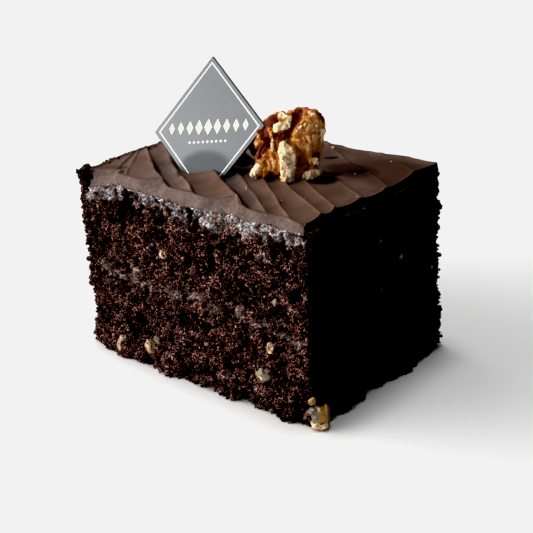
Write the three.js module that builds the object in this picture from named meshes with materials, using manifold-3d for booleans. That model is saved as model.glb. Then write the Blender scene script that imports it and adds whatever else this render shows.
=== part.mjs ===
// A cut slice of chocolate walnut cake: two crumb layers with a thin filling between them, a combed
// frosting on top, a candied walnut half and a lozenge-shaped chocolate plaque stuck into the
// frosting, and one nut chunk that sticks out at the foot of a corner.
//
// Millimetres, +Z up. X runs along the long cut face, whose front looks along -Y. The slice is laid
// out round its own centre, and the finished group is shifted so that the origin is the middle of the
// bottom of its bounding box.
import * as THREE from "three";
import { mergeVertices } from "three/addons/utils/BufferGeometryUtils.js";
import Module from "manifold-3d";

const wasm = await Module();
wasm.setup();

// Driving dimensions of the slice.
const LENGTH = 90;
const DEPTH = 62;
const FROSTING_TOP = 60;
const FILLING_BOTTOM = 24.2;
const FILLING_THICKNESS = 2.2;
const THIN_FROSTING = 3;
const THICK_FROSTING = 6;
const FOOT_FLARE = 2.4;
const CORNER_CRUMBLE = 0.4;
const FOOT_CRUMBLE = 3.2;
const GAP = 0.3;

const HALF_LENGTH = LENGTH / 2;
const HALF_DEPTH = DEPTH / 2;

const FINISHES = {
  crumb: { color: 0x3a1a14, roughness: 0.95, metalness: 0 },
  filling: { color: 0x5a443e, roughness: 0.6, metalness: 0 },
  frosting: { color: 0x69503f, roughness: 0.5, metalness: 0 },
  walnut: { color: 0xb4762e, roughness: 0.35, metalness: 0 },
  plaque: { color: 0x868c8f, roughness: 0.3, metalness: 0 },
  nut: { color: 0xd9b778, roughness: 0.6, metalness: 0 },
};

// ---------------------------------------------------------------- helpers

/** Smooth step from 0 at `from` to 1 at `to`. */
function ramp(value, from, to) {
  const t = THREE.MathUtils.clamp((value - from) / (to - from), 0, 1);
  return t * t * (3 - 2 * t);
}

/** Unevenness of about -1 to 1 over a face, from three crossed waves. */
function lumps(a, b, seed) {
  const first = Math.sin(a * 0.21 + b * 0.13 + seed * 1.7);
  const second = Math.sin(a * 0.47 - b * 0.39 + seed * 3.1);
  const third = Math.sin(a * 0.83 + b * 0.71 + seed * 5.3);
  return (first + 0.7 * second + 0.5 * third) / 2.2;
}

/** Slow unevenness of a level: its waves are several times as long as a cell of the mesh. */
function sag(x, y, seed) {
  return lumps(x * 0.35, y * 0.35, seed);
}

/** The closed mesh of a three.js geometry, with its shared corners merged. */
function closed(geometry) {
  const bare = geometry.clone();
  bare.deleteAttribute("normal");
  bare.deleteAttribute("uv");
  return mergeVertices(bare, 1e-4);
}

/** Moves every corner of a geometry: `move` gets and changes a Vector3. */
function shaped(geometry, move) {
  const result = closed(geometry);
  const position = result.attributes.position;
  const point = new THREE.Vector3();
  for (let i = 0; i < position.count; i += 1) {
    point.fromBufferAttribute(position, i);
    move(point);
    position.setXYZ(i, point.x, point.y, point.z);
  }
  return result;
}

/** A manifold-3d solid from a closed geometry. */
function solid(geometry) {
  const merged = closed(geometry);
  return new wasm.Manifold(
    new wasm.Mesh({
      numProp: 3,
      vertProperties: new Float32Array(merged.attributes.position.array),
      triVerts: new Uint32Array(merged.index.array),
    }),
  );
}

/** A BufferGeometry from a manifold-3d solid. */
function geometryOf(body) {
  const made = body.getMesh();
  const corners = new Float32Array(made.numVert * 3);
  for (let i = 0; i < made.numVert; i += 1) {
    const start = i * made.numProp;
    corners.set(made.vertProperties.subarray(start, start + 3), i * 3);
  }
  const geometry = new THREE.BufferGeometry();
  geometry.setAttribute("position", new THREE.BufferAttribute(corners, 3));
  geometry.setIndex(new THREE.BufferAttribute(new Uint32Array(made.triVerts), 1));
  geometry.computeVertexNormals();
  return geometry;
}

/** A named mesh with a material of its own. */
function node(name, geometry, finish) {
  const mesh = new THREE.Mesh(geometry, new THREE.MeshStandardMaterial(finish));
  mesh.name = name;
  return mesh;
}

// ---------------------------------------------------------------- levels of the layers

/** Top of the lower crumb layer, which the filling is spread on. */
function lowerTop(x, y) {
  return FILLING_BOTTOM + 0.7 * sag(x, y, 2);
}

/** Top of the filling. */
function fillingTop(x, y) {
  return lowerTop(x, y) + GAP + FILLING_THICKNESS + 0.4 * sag(x, y, 5);
}

/** Top of the upper crumb layer: the frosting is thicker towards the -X end. */
function upperTop(x, y) {
  const thickness = THREE.MathUtils.lerp(THICK_FROSTING, THIN_FROSTING, ramp(x, -HALF_LENGTH, 5));
  return FROSTING_TOP - thickness - 0.4 * sag(x, y, 7);
}

/** Mean top of the frosting, which falls a little towards the -X end and rounds off at its rim. */
function frostingTop(x, y) {
  const endFall = 0.9 * ramp(-x, HALF_LENGTH - 12, HALF_LENGTH);
  const rimX = ramp(x, HALF_LENGTH - 3.5, HALF_LENGTH);
  const rimY = ramp(Math.abs(y), HALF_DEPTH - 2.5, HALF_DEPTH + 0.5);
  return FROSTING_TOP - endFall - 1.1 * Math.max(rimX, rimY) + 0.25 * lumps(x, y, 11);
}

// ---------------------------------------------------------------- cut block

/** How much of the foot's flare is left at a height: 1 at the bottom, 0 at the filling. */
function footShare(z) {
  return THREE.MathUtils.clamp(1 - z / FILLING_BOTTOM, 0, 1) ** 2;
}

/**
 * A layer of the cut block between two level functions. `swell` is how far its sides stand out,
 * `rough` how uneven they are. The block's foot flares, and its corners are crumbled round there.
 */
function layerBlock({ bottom, top, cells, swell, rough, seed }) {
  const box = new THREE.BoxGeometry(LENGTH, DEPTH, 1, ...cells);
  return shaped(box, (point) => {
    const u = point.x / HALF_LENGTH;
    const v = point.y / HALF_DEPTH;
    const low = bottom(point.x, point.y);
    const high = top(point.x, point.y);
    const z = THREE.MathUtils.lerp(low, high, point.z + 0.5);
    const stand = swell + FOOT_FLARE * footShare(z);
    const standX = stand + rough * lumps(point.y, z, seed + Math.sign(u));
    const standY = stand + rough * lumps(point.x, z, seed + 3 * Math.sign(v));
    const pull = (CORNER_CRUMBLE + FOOT_CRUMBLE * footShare(z)) * Math.abs(u * v) ** 16;
    point.x += Math.sign(u) * (Math.abs(u) ** 8 * standX - pull);
    point.y += Math.sign(v) * (Math.abs(v) ** 8 * standY - pull);
    point.z = z;
  });
}

/** The crumb under the filling, which spreads towards its foot. */
function lowerCrumb() {
  return layerBlock({
    bottom: () => 0,
    top: lowerTop,
    cells: [18, 12, 5],
    swell: 0.8,
    rough: 0.5,
    seed: 1,
  });
}

/** The filling, a thin layer that runs through the whole slice. */
function filling() {
  return layerBlock({
    bottom: (x, y) => lowerTop(x, y) + GAP,
    top: fillingTop,
    cells: [18, 12, 1],
    swell: 0.6,
    rough: 0.3,
    seed: 4,
  });
}

/** The crumb over the filling, without its slot. */
function upperCrumb() {
  return layerBlock({
    bottom: (x, y) => fillingTop(x, y) + GAP,
    top: upperTop,
    cells: [18, 12, 6],
    swell: 1.2,
    rough: 0.6,
    seed: 9,
  });
}

// Loose crumb that clings to the front corner at the -X end and laps over the frosting.
const CORNER_CRUMB_CENTRE = new THREE.Vector3(-43.6, -30.2, 56.4);
const CORNER_CRUMB_RADII = new THREE.Vector3(4, 4.2, 5);

/** The clump of crumb on the corner, grown by `extra`. */
function cornerCrumb(extra) {
  const ball = shaped(new THREE.IcosahedronGeometry(1, 1), (point) => {
    point.multiplyScalar(1 + 0.15 * lumps(point.x * 5, point.y * 5 + point.z * 3, 6));
    point.multiply(CORNER_CRUMB_RADII.clone().addScalar(extra));
    point.add(CORNER_CRUMB_CENTRE);
  });
  return solid(ball);
}

// ---------------------------------------------------------------- combed frosting

// The comb ran at this angle to X. Each ridge is a step across that direction: `across` is where it
// stands, measured across the comb's path from the slice's centre, and `drop` how far it falls.
// `slope` fans its +X end out of the comb's direction, and `bend` curls its -X end.
const COMB_ANGLE = THREE.MathUtils.degToRad(-32);
const COMB_REACH = 58;
const DROP_WIDTH = 0.7;
const FAN_START = 8;
const FAN_MIDDLE = 20;
const RIDGES = [
  { across: -42, slope: -0.02, bend: 12, drop: 1.2 },
  { across: -29.8, slope: -0.02, bend: 5, drop: 1.6 },
  { across: -23.8, slope: -0.04, bend: 2, drop: 1.8 },
  { across: -13.3, slope: 0.02, bend: 1, drop: 2.2 },
  { across: -6, slope: -0.07, bend: 1, drop: 1.2 },
  { across: -1.2, slope: -0.08, bend: 1, drop: 1.1 },
  { across: 3, slope: 0.06, bend: 1, drop: 0.8 },
  { across: 8.6, slope: 0.05, bend: 1, drop: 0.7 },
  { across: 18.2, slope: 0.07, bend: 0, drop: 0.5 },
  { across: 28.3, slope: 0.09, bend: 0, drop: 0.5 },
  { across: 40, slope: 0.12, bend: 0, drop: 0.4 },
];

/** Rows across the comb's path: a crest and a foot for each ridge, and the middle of each strip. */
function combRows() {
  const margin = { slope: 0, bend: 0, lift: 0 };
  const rows = [{ ...margin, across: -COMB_REACH }];
  RIDGES.forEach((ridge, i) => {
    const next = RIDGES[i + 1] ?? { ...margin, across: COMB_REACH };
    const middle = (key) => (ridge[key] + next[key]) / 2;
    rows.push({ ...ridge, lift: 0.45 * ridge.drop });
    rows.push({ ...ridge, across: ridge.across + DROP_WIDTH, lift: -0.55 * ridge.drop });
    rows.push({
      across: middle("across"),
      slope: middle("slope"),
      bend: middle("bend"),
      lift: -0.2 * ridge.drop,
    });
  });
  rows.push({ ...margin, across: COMB_REACH });
  return rows;
}

/** A sheet with the comb's ridges on top, larger than the slice all round. */
function combedSheet() {
  const rows = combRows();
  const last = rows.length - 1;
  const steps = 22;
  const box = new THREE.BoxGeometry(2 * COMB_REACH, last, 1, steps, last, 1);
  const cos = Math.cos(COMB_ANGLE);
  const sin = Math.sin(COMB_ANGLE);
  return shaped(box, (point) => {
    const row = rows[Math.round(point.y + last / 2)];
    const along = point.x;
    const bend = row.bend * ramp(-along, 4, 36);
    const fan = row.slope * (Math.max(along, FAN_START) - FAN_MIDDLE);
    const across = row.across + fan + bend;
    const onTop = point.z > 0;
    point.x = along * cos - across * sin;
    point.y = along * sin + across * cos;
    const low = upperTop(point.x, point.y) + GAP;
    point.z = onTop ? frostingTop(point.x, point.y) + row.lift : low;
  });
}

/** The frosting: the combed sheet, cut to the slice's outline. */
function frosting() {
  const overrun = 8;
  const knife = layerBlock({
    bottom: () => FROSTING_TOP - overrun,
    top: () => FROSTING_TOP + overrun,
    cells: [18, 12, 2],
    swell: -0.3,
    rough: 0.4,
    seed: 13,
  });
  return solid(combedSheet()).intersect(solid(knife));
}

// ---------------------------------------------------------------- plaque

const PLAQUE_WIDTH = 39.6;
const PLAQUE_HEIGHT = 44.6;
const PLAQUE_THICKNESS = 1.4;
const PLAQUE_BEVEL = 0.3;

// Its middle, the way it faces (turned from -Y), how far it leans back and turns in its own plane.
const PLAQUE_CENTRE = new THREE.Vector3(-11.1, -8, 71.6);
const PLAQUE_TURN = THREE.MathUtils.degToRad(8);
const PLAQUE_LEAN = THREE.MathUtils.degToRad(26.5);
const PLAQUE_ROLL = THREE.MathUtils.degToRad(10.2);

/** A bevelled lozenge, front towards -Y, grown by `extra` all round. */
function lozenge(extra) {
  const halfWidth = PLAQUE_WIDTH / 2 + extra;
  const halfHeight = PLAQUE_HEIGHT / 2 + extra;
  const outline = new THREE.Shape();
  outline.moveTo(0, -halfHeight);
  outline.lineTo(halfWidth, 0);
  outline.lineTo(0, halfHeight);
  outline.lineTo(-halfWidth, 0);
  outline.closePath();
  const thickness = PLAQUE_THICKNESS + 2 * extra;
  const geometry = new THREE.ExtrudeGeometry(outline, {
    depth: thickness - 2 * PLAQUE_BEVEL,
    bevelSize: PLAQUE_BEVEL,
    bevelOffset: -PLAQUE_BEVEL,
    bevelThickness: PLAQUE_BEVEL,
    bevelSegments: 2,
    steps: 1,
  });
  geometry.translate(0, 0, PLAQUE_BEVEL - thickness / 2);
  geometry.rotateX(Math.PI / 2);
  return geometry;
}

/** Puts a mesh of the plaque where it is stuck into the frosting. */
function placePlaque(geometry) {
  const pose = new THREE.Object3D();
  pose.position.copy(PLAQUE_CENTRE);
  pose.rotation.order = "ZXY";
  pose.rotation.set(-PLAQUE_LEAN, -PLAQUE_ROLL, PLAQUE_TURN);
  pose.updateMatrix();
  return closed(geometry).applyMatrix4(pose.matrix);
}

// ---------------------------------------------------------------- walnut half

// The walnut's foot, and the way it faces: `right`, `front` and up are the axes of the lobes below.
const WALNUT_FOOT = new THREE.Vector3(15.2, -2.6, 59.6);
const WALNUT_TURN = THREE.MathUtils.degToRad(33);

// Lobes as [right, front, up] centres and [right, front, up] radii, with how finely each is faceted.
const WALNUT_LOBES = {
  body: [[1.2, -3, 10.2], [9.2, 4.6, 10.2], 2],
  frontFin: [[0.4, 3.2, 5.4], [2.7, 3.7, 6], 1],
  leftFoot: [[-9.2, 1, 3.2], [2.4, 2.4, 3.6], 1],
  leftInstep: [[-6.8, -0.4, 3.6], [3.2, 3, 3.8], 1],
  stem: [[-4.2, 1.2, 7], [1.7, 2.8, 7.4], 1],
  rightFoot: [[6.6, 1.4, 2.2], [3.2, 3.2, 3.2], 1],
  rightHeel: [[8, 0.6, 5.6], [2.2, 2.8, 2.6], 1],
  rightCheek: [[7, 1, 11.7], [4.6, 3.8, 5], 1],
  rightCrown: [[7.2, -0.8, 17.4], [4.2, 3.6, 4.2], 1],
  middleBump: [[4, 2.6, 11.6], [2.7, 2.6, 3], 1],
  brow: [[-1, -0.4, 17.2], [2.4, 2.4, 3.2], 1],
  browEnd: [[-3.4, -0.4, 15.2], [2.8, 2.2, 2], 1],
  leftCrown: [[-6.2, -6.8, 13.6], [4, 2.4, 3.8], 1],
  leftCheek: [[-8, -6, 7.6], [2.8, 2.6, 4.6], 1],
};

/** One lobe of the walnut, grown by `extra`, in the walnut's own axes. */
function lobe([centre, radii, fineness], extra) {
  const ball = new THREE.IcosahedronGeometry(1, fineness);
  const [right, front, up] = radii;
  ball.scale(right + extra, front + extra, up + extra);
  ball.translate(centre[0], -centre[1], centre[2]);
  return solid(ball);
}

/** The walnut half: its lobes joined into one solid and set on the frosting. */
function walnutHalf(extra) {
  const joined = Object.values(WALNUT_LOBES)
    .map((shape) => lobe(shape, extra))
    .reduce((whole, part) => whole.add(part));
  const placed = geometryOf(joined);
  placed.rotateZ(WALNUT_TURN);
  placed.translate(WALNUT_FOOT.x, WALNUT_FOOT.y, WALNUT_FOOT.z);
  return solid(placed);
}

// ---------------------------------------------------------------- nut chunk at the corner's foot

const CHUNK_CENTRE = new THREE.Vector3(47.9, -31.6, 4.2);
const CHUNK_RADII = new THREE.Vector3(3.2, 2.8, 4);

/** An angular nut chunk that stands at the foot of the front corner at the +X end. */
function nutChunk(extra) {
  const ball = new THREE.IcosahedronGeometry(1, 2);
  const chunk = shaped(ball, (point) => {
    point.multiplyScalar(1 + 0.12 * lumps(point.x * 9, point.y * 9 + point.z * 7, 3));
    point.multiply(CHUNK_RADII.clone().addScalar(extra));
    point.add(CHUNK_CENTRE);
    point.z = Math.max(point.z, 0.1 - extra);
  });
  return solid(chunk);
}

// ---------------------------------------------------------------- the slice

/** Every node of the slice, with the slots and dimples that neighbours press into each other. */
function buildSlice() {
  const plaqueSlot = solid(placePlaque(lozenge(GAP)));
  const walnutDimple = walnutHalf(GAP);
  const lower = solid(lowerCrumb()).subtract(nutChunk(GAP));
  const upper = solid(upperCrumb()).add(cornerCrumb(0)).subtract(plaqueSlot);
  const top = frosting().subtract(plaqueSlot).subtract(walnutDimple).subtract(cornerCrumb(GAP));
  const group = new THREE.Group();
  group.add(node("crumb_lower", geometryOf(lower), FINISHES.crumb));
  group.add(node("filling", filling(), FINISHES.filling));
  group.add(node("crumb_upper", geometryOf(upper), FINISHES.crumb));
  group.add(node("frosting", geometryOf(top), FINISHES.frosting));
  group.add(node("walnut", geometryOf(walnutHalf(0).subtract(plaqueSlot)), FINISHES.walnut));
  group.add(node("plaque", placePlaque(lozenge(0)), FINISHES.plaque));
  group.add(node("nut_chunk", geometryOf(nutChunk(0)), FINISHES.nut));
  return group;
}

/** Shifts a group so that its origin is the middle of the bottom of its bounding box. */
function centred(group) {
  const bounds = new THREE.Box3().setFromObject(group, true);
  const centre = bounds.getCenter(new THREE.Vector3());
  const shifted = new THREE.Group();
  group.position.set(-centre.x, -centre.y, -bounds.min.z);
  shifted.add(group);
  return shifted;
}

export default centred(buildSlice());
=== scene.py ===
"""The looks of a slice of chocolate walnut cake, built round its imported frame.

Each sub-assembly is a class that is laid out in millimetres in the slice's own space: the origin is
the middle of the cut block's foot, X runs along the long cut face and -Y is that face's front.
SlicePlan scales a finished mesh to metres and moves it to where the frame has the slice.
"""

from __future__ import annotations

import logging
import math
import random
from bisect import bisect_right
from collections.abc import Callable, Iterable
from dataclasses import dataclass, field
from enum import Enum, IntEnum
from functools import cached_property

import bmesh
import bpy
from bmesh.types import BMesh, BMFace, BMLayerItem, BMVert
from bpy.types import Material, NodeSocket, NodeTree, Object
from mathutils import Euler, Matrix, Vector, noise


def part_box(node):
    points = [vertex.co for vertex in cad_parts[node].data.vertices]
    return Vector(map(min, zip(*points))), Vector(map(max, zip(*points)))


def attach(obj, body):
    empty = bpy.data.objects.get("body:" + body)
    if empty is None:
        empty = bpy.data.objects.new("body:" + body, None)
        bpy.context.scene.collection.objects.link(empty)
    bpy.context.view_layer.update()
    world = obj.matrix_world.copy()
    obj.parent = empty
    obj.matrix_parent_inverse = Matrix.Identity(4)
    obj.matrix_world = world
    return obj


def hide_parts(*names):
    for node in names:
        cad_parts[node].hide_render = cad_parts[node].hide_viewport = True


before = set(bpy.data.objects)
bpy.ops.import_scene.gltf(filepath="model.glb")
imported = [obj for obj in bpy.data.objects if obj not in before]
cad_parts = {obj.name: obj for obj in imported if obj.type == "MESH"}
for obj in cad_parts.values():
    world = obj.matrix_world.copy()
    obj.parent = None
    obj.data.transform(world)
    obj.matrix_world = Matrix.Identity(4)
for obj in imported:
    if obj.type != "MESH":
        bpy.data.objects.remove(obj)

LOG = logging.getLogger("slice")
MM = 0.001
BODY = "root"
SEED = 7
WELD = 0.002
SLIVER = 0.001

# Layout of the cut block, in millimetres.
HALF_LENGTH = 45.0
HALF_DEPTH = 31.0
CORNER_RADIUS = 0.9
FROSTING_TOP = 60.0
FILLING_BOTTOM = 24.5
FOOT_HEIGHT = 24.0
FOOT_FLARE = 2.1
CORNER_CRUMBLE = 1.2
WAIST_HEIGHT = 13.5
WAIST_DEPTH = 1.2
LIP_HEIGHT = 21.5
LIP_DEPTH = 0.8
FAN_START = 8.0
FAN_MIDDLE = 20.0
PLAQUE_MIDDLE = (-11.1, -8.0, 71.6)


class Attribute(Enum):
    """Numbers that a mesh carries from its modelling to its finish."""

    OPEN = "crumb_open"
    SMEAR = "smear"
    BARE = "bare"
    SKIN = "skin"
    CUT = "cut_side"
    # SHADE carries painted shade: the +X side, comb troughs, cast shadows and dark pits.
    SHADE = "painted_shade"
    TINT = "tint"
    ACROSS = "plaque_across"
    UP = "plaque_up"
    YELLOW = "yellow"


class CutFace(Enum):
    """Sides of the block that nut bits show in."""

    FRONT = "front"
    RIGHT = "right"


class PlaqueCoat(IntEnum):
    """Materials of the plaque, in the order that its mesh has them."""

    CHOCOLATE = 0
    FACE = 1
    GILT = 2
    WHITE = 3


# ---------- small sums


def limited(value: float) -> float:
    """Limits a number to 0..1."""
    return max(0.0, min(1.0, value))


def ramp(value: float, start: float, end: float) -> float:
    """Rises smoothly from 0 at start to 1 at end.

    Args:
        value: The number to place.
        start: Where the rise begins.
        end: Where it is complete. It may be below start.

    Returns:
        A share from 0 to 1.
    """
    share = limited((value - start) / (end - start))
    return share * share * (3.0 - 2.0 * share)


def mixed(first: float, second: float, share: float) -> float:
    """Returns the number that lies share of the way from first to second."""
    return first + (second - first) * share


def wobble(point: Vector, size: float, seed: float) -> float:
    """Smooth unevenness in space.

    Args:
        point: Where, in millimetres.
        size: Width of a typical bump, in millimetres.
        seed: Moves the pattern, so that two uses differ.

    Returns:
        A number from about -1 to 1.
    """
    return 1.6 * noise.noise(point / size + Vector((seed, -seed, 2.0 * seed)))


def flattened(point: Vector, z: float = 0.0) -> Vector:
    """Returns the point at height z that has this point's x and y."""
    return Vector((point.x, point.y, z))


def vector(*numbers: float) -> Vector:
    """Returns a dataclass field that starts as a vector of these numbers."""
    return field(default_factory=lambda: Vector(numbers))


# ---------- shader sheets

Input = "Flow | float | tuple[float, ...]"


class Flow:
    """A socket whose number, colour or vector flows on, with the sums that finishes use."""

    def __init__(self, sheet: Sheet, socket: NodeSocket | None) -> None:
        """Wraps an output socket of a sheet."""
        self.sheet = sheet
        self.socket = socket

    def _math(self, operation: str, *values: Input, clamp: bool = False) -> Flow:
        """Adds a Math node for a sum on numbers."""
        settings = {"operation": operation, "use_clamp": clamp}
        return self.sheet.node("ShaderNodeMath", settings, dict(enumerate(values)))

    def __add__(self, other: Input) -> Flow:
        """Returns self + other."""
        return self._math("ADD", self, other)

    def __radd__(self, other: Input) -> Flow:
        """Returns other + self."""
        return self._math("ADD", other, self)

    def __sub__(self, other: Input) -> Flow:
        """Returns self - other."""
        return self._math("SUBTRACT", self, other)

    def __rsub__(self, other: Input) -> Flow:
        """Returns other - self."""
        return self._math("SUBTRACT", other, self)

    def __mul__(self, other: Input) -> Flow:
        """Returns self * other."""
        return self._math("MULTIPLY", self, other)

    def __rmul__(self, other: Input) -> Flow:
        """Returns other * self."""
        return self._math("MULTIPLY", other, self)

    def __pow__(self, other: Input) -> Flow:
        """Returns self to the power of other."""
        return self._math("POWER", self, other)

    def between(self, low: float, high: float) -> Flow:
        """Rises smoothly from 0 to 1.

        Args:
            low: Value of self where the rise begins.
            high: Value of self where it is complete.

        Returns:
            The risen share.
        """
        settings = {"interpolation_type": "SMOOTHSTEP"}
        sockets = {"Value": self, "From Min": low, "From Max": high}
        return self.sheet.node("ShaderNodeMapRange", settings, sockets)

    def clamped(self) -> Flow:
        """Limits self to 0..1."""
        return self._math("ADD", self, 0.0, clamp=True)


class Sheet:
    """A node tree that is filled in one node at a time."""

    def __init__(self, tree: NodeTree) -> None:
        """Starts with an empty tree."""
        self.tree = tree
        self.tree.nodes.clear()

    def node(
        self,
        kind: str,
        settings: dict[str, object],
        sockets: dict[str | int, Input],
        output: str | int = 0,
    ) -> Flow:
        """Adds a node.

        Args:
            kind: Its type.
            settings: Its properties.
            sockets: Values or flows of its inputs, by name or place.
            output: The output that flows on.

        Returns:
            The flow out of it.
        """
        made = self.tree.nodes.new(kind)
        for key, value in settings.items():
            setattr(made, key, value)
        for key, value in sockets.items():
            if isinstance(value, Flow):
                self.tree.links.new(value.socket, made.inputs[key])
            else:
                made.inputs[key].default_value = value
        return Flow(self, made.outputs[output] if made.outputs else None)


class MaterialSheet(Sheet):
    """The node sheet of one material, with one Principled shader at its end."""

    def __init__(self, name: str) -> None:
        """Starts an empty sheet whose patterns are laid out in millimetres.

        Args:
            name: The material's name.
        """
        self.material = bpy.data.materials.new(name)
        self.material.use_nodes = True
        super().__init__(self.material.node_tree)
        place = self.node("ShaderNodeTexCoord", {}, {}, "Object")
        to_mm = {"Vector": place, "Scale": (1 / MM, 1 / MM, 1 / MM)}
        self.place = self.node("ShaderNodeMapping", {}, to_mm)

    def noise(self, size: float, detail: float = 3, rough: float = 0.55, shift: float = 0) -> Flow:
        """Soft noise from 0 to 1, round a mean of 0.5.

        Args:
            size: Width of its bumps, in millimetres.
            detail: How many finer layers it has.
            rough: How strong the finer layers are.
            shift: Moves the pattern, in millimetres, so that two uses differ.

        Returns:
            The noise.
        """
        moved = {"Vector": self.place, "Location": (shift, 2.0 * shift, -shift)}
        where = self.node("ShaderNodeMapping", {}, moved)
        sockets = {"Vector": where, "Scale": 1 / size, "Detail": detail, "Roughness": rough}
        return self.node("ShaderNodeTexNoise", {}, sockets)

    def grains(self, size: float) -> Flow:
        """Distance to the nearest of points that lie size millimetres apart."""
        sockets = {"Vector": self.place, "Scale": 1 / size}
        return self.node("ShaderNodeTexVoronoi", {}, sockets)

    def cells(self, size: float) -> Flow:
        """A number from 0 to 1 that changes from one size-millimetre cell to the next."""
        sockets = {"Vector": self.place, "Scale": 1 / size}
        return self.node("ShaderNodeTexVoronoi", {}, sockets, "Color")

    def carried(self, attribute: Attribute) -> Flow:
        """A number that the mesh carries."""
        return self.node("ShaderNodeAttribute", {"attribute_name": attribute.value}, {}, "Fac")

    def blend(self, share: Input, first: Input, second: Input) -> Flow:
        """Mixes two colours, from first where share is 0 to second where it is 1."""
        one, two = (c if isinstance(c, Flow) else (*c, 1.0) for c in (first, second))
        return self.node("ShaderNodeMix", {"data_type": "RGBA"}, {0: share, 6: one, 7: two}, 2)

    def relief(self, height: Flow, depth: float, strength: float = 1.0) -> Flow:
        """A bumped normal.

        Args:
            height: The height, from 0 to 1.
            depth: What a height of 1 is, in millimetres.
            strength: How much of the bump is seen.

        Returns:
            The normal.
        """
        sockets = {"Height": height, "Distance": depth * MM, "Strength": strength}
        return self.node("ShaderNodeBump", {}, sockets)

    def done(self, sockets: dict[str, Input]) -> Material:
        """Adds the shader.

        Args:
            sockets: Values or flows of the shader's inputs.

        Returns:
            The finished material.
        """
        shader = self.node("ShaderNodeBsdfPrincipled", {}, sockets)
        self.node("ShaderNodeOutputMaterial", {}, {"Surface": shader})
        return self.material


# ---------- finishes

Colour = tuple[float, float, float]


@dataclass(frozen=True)
class CrumbFinish:
    """Open chocolate crumb: red-brown grains, pores painted near black as shade, pale brown or ashen flecks
    painted as glints of light, and grey frosting smears whose grey is partly painted sheen.
    """

    # pore is near black: the crumb's own dark colour, with painted shade in pores and on the +X side.
    pore: Colour = (0.0012, 0.0005, 0.0004)
    grain: Colour = (0.165, 0.037, 0.031)
    rust: Colour = (0.19, 0.046, 0.014)
    # The next two are pale flecks painted as glints of light on the crumb.
    fleck_glint: Colour = (0.8, 0.39, 0.31)
    ash_glint: Colour = (0.66, 0.52, 0.5)
    smear: Colour = (0.31, 0.28, 0.275)
    filling: Colour = (0.36, 0.22, 0.18)
    glint: Colour = (0.85, 0.84, 0.85)

    def make(self) -> Material:
        """Builds the material.

        Returns:
            The material.
        """
        sheet = MaterialSheet("chocolate_crumb")
        is_open = sheet.carried(Attribute.OPEN)
        smear = sheet.carried(Attribute.SMEAR)
        fine = sheet.noise(0.4, 2.0, 0.6)
        grit = sheet.noise(0.9, 2.0, 0.6, 19.0)
        cell = sheet.cells(0.6)
        clumps = sheet.noise(2.6, 3.0, 0.6, 7.0)
        broad = sheet.noise(6.5, 2.0, 0.5, 31.0)
        # lit is painted light and shade: lighter on open grain and clump tops, near black in pores.
        lit = is_open * 0.85 + (fine - 0.5) * 5.2 + (grit - 0.5) * 1.2 + (clumps - 0.5) * 0.9
        lit = (lit + (broad - 0.5) * 0.5 - 0.25).clamped() ** 1.4
        grain = sheet.blend(cell.between(0.35, 0.65), self.grain, self.rust)
        fleck_glint = sheet.blend(cell.between(0.65, 0.35), self.fleck_glint, self.ash_glint)
        brown = sheet.blend(lit.between(0.0, 0.6), self.pore, grain)
        brown = sheet.blend(lit.between(0.5, 1.05), brown, fleck_glint)
        patchy = (smear * 1.4 + (fine - 0.5) * 3.2 + (grit - 0.5) * 2.2).between(0.25, 1.1)
        dragged = sheet.blend(smear.between(0.7, 0.92), self.filling, self.smear)
        # Painted glints of sheen on the frosting smears.
        glint = (smear * 0.7 + (fine - 0.5) * 4.0 + (grit - 0.5) * 2.0).between(0.6, 1.15)
        dragged = sheet.blend(glint * smear, dragged, self.glint)
        colour = sheet.blend(patchy * (0.35 + is_open * 0.8), brown, dragged)
        # Painted shade darkens the +X side to near black.
        colour = sheet.blend(sheet.carried(Attribute.SHADE), colour, self.pore)
        sockets = {
            "Base Color": colour,
            "Roughness": 0.85 - patchy * 0.4 + (grit - 0.5) * 0.4,
            "Specular IOR Level": 0.15,
            "Normal": sheet.relief(fine * 0.6 + grit * 0.4, 0.4, 1.0),
        }
        return sheet.done(sockets)


@dataclass(frozen=True)
class FrostingFinish:
    """Satin chocolate frosting, greyer and duller where the knife cut it, and darkened by painted shade in
    troughs, cast shadows and on the +X side. The cut's grey is partly painted sheen.
    """

    top: Colour = (0.146, 0.086, 0.0635)
    worn: Colour = (0.112, 0.06, 0.042)
    # The next two colours are painted shade: red-brown, then near black.
    shade_tint: Colour = (0.05, 0.014, 0.004)
    deep: Colour = (0.005, 0.0012, 0.0006)
    cut: Colour = (0.115, 0.076, 0.064)
    bright: Colour = (0.165, 0.12, 0.105)

    def make(self) -> Material:
        """Builds the material.

        Returns:
            The material.
        """
        sheet = MaterialSheet("satin_frosting")
        cut = sheet.carried(Attribute.CUT)
        cloud = sheet.noise(6.0, 4.0, 0.5)
        mottle = sheet.noise(1.1, 4.0, 0.6, 5.0)
        pits = sheet.grains(2.3).between(0.16, 0.05) * sheet.noise(5.0, 1.0, 0.5, 3.0).between(0.52, 0.6)
        colour = sheet.blend(cloud.between(0.35, 0.65), self.top, self.worn)
        speck = sheet.noise(0.45, 2.0, 0.6, 8.0)
        # The cut band's grey and its pale flecks are partly painted sheen.
        wiped = sheet.blend((speck + mottle).between(0.85, 1.2), self.cut, self.bright)
        colour = sheet.blend(cut * (0.75 + mottle * 0.4), colour, wiped)
        # Painted shade: troughs, cast shadows and the +X band.
        shade = sheet.carried(Attribute.SHADE)
        colour = sheet.blend(shade.between(0.0, 0.6), colour, self.shade_tint)
        colour = sheet.blend(shade.between(0.5, 1.0), colour, self.deep)
        height = mottle * 0.6 - pits * 0.6 + speck * (0.2 + cut * 0.7)
        sockets = {
            "Base Color": colour,
            "Roughness": 0.46 + (mottle - 0.5) * 0.25 + cut * 0.14 + shade * 0.4,
            "Specular IOR Level": 0.14,
            "Normal": sheet.relief(height, 0.16, 0.7),
        }
        return sheet.done(sockets)


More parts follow.
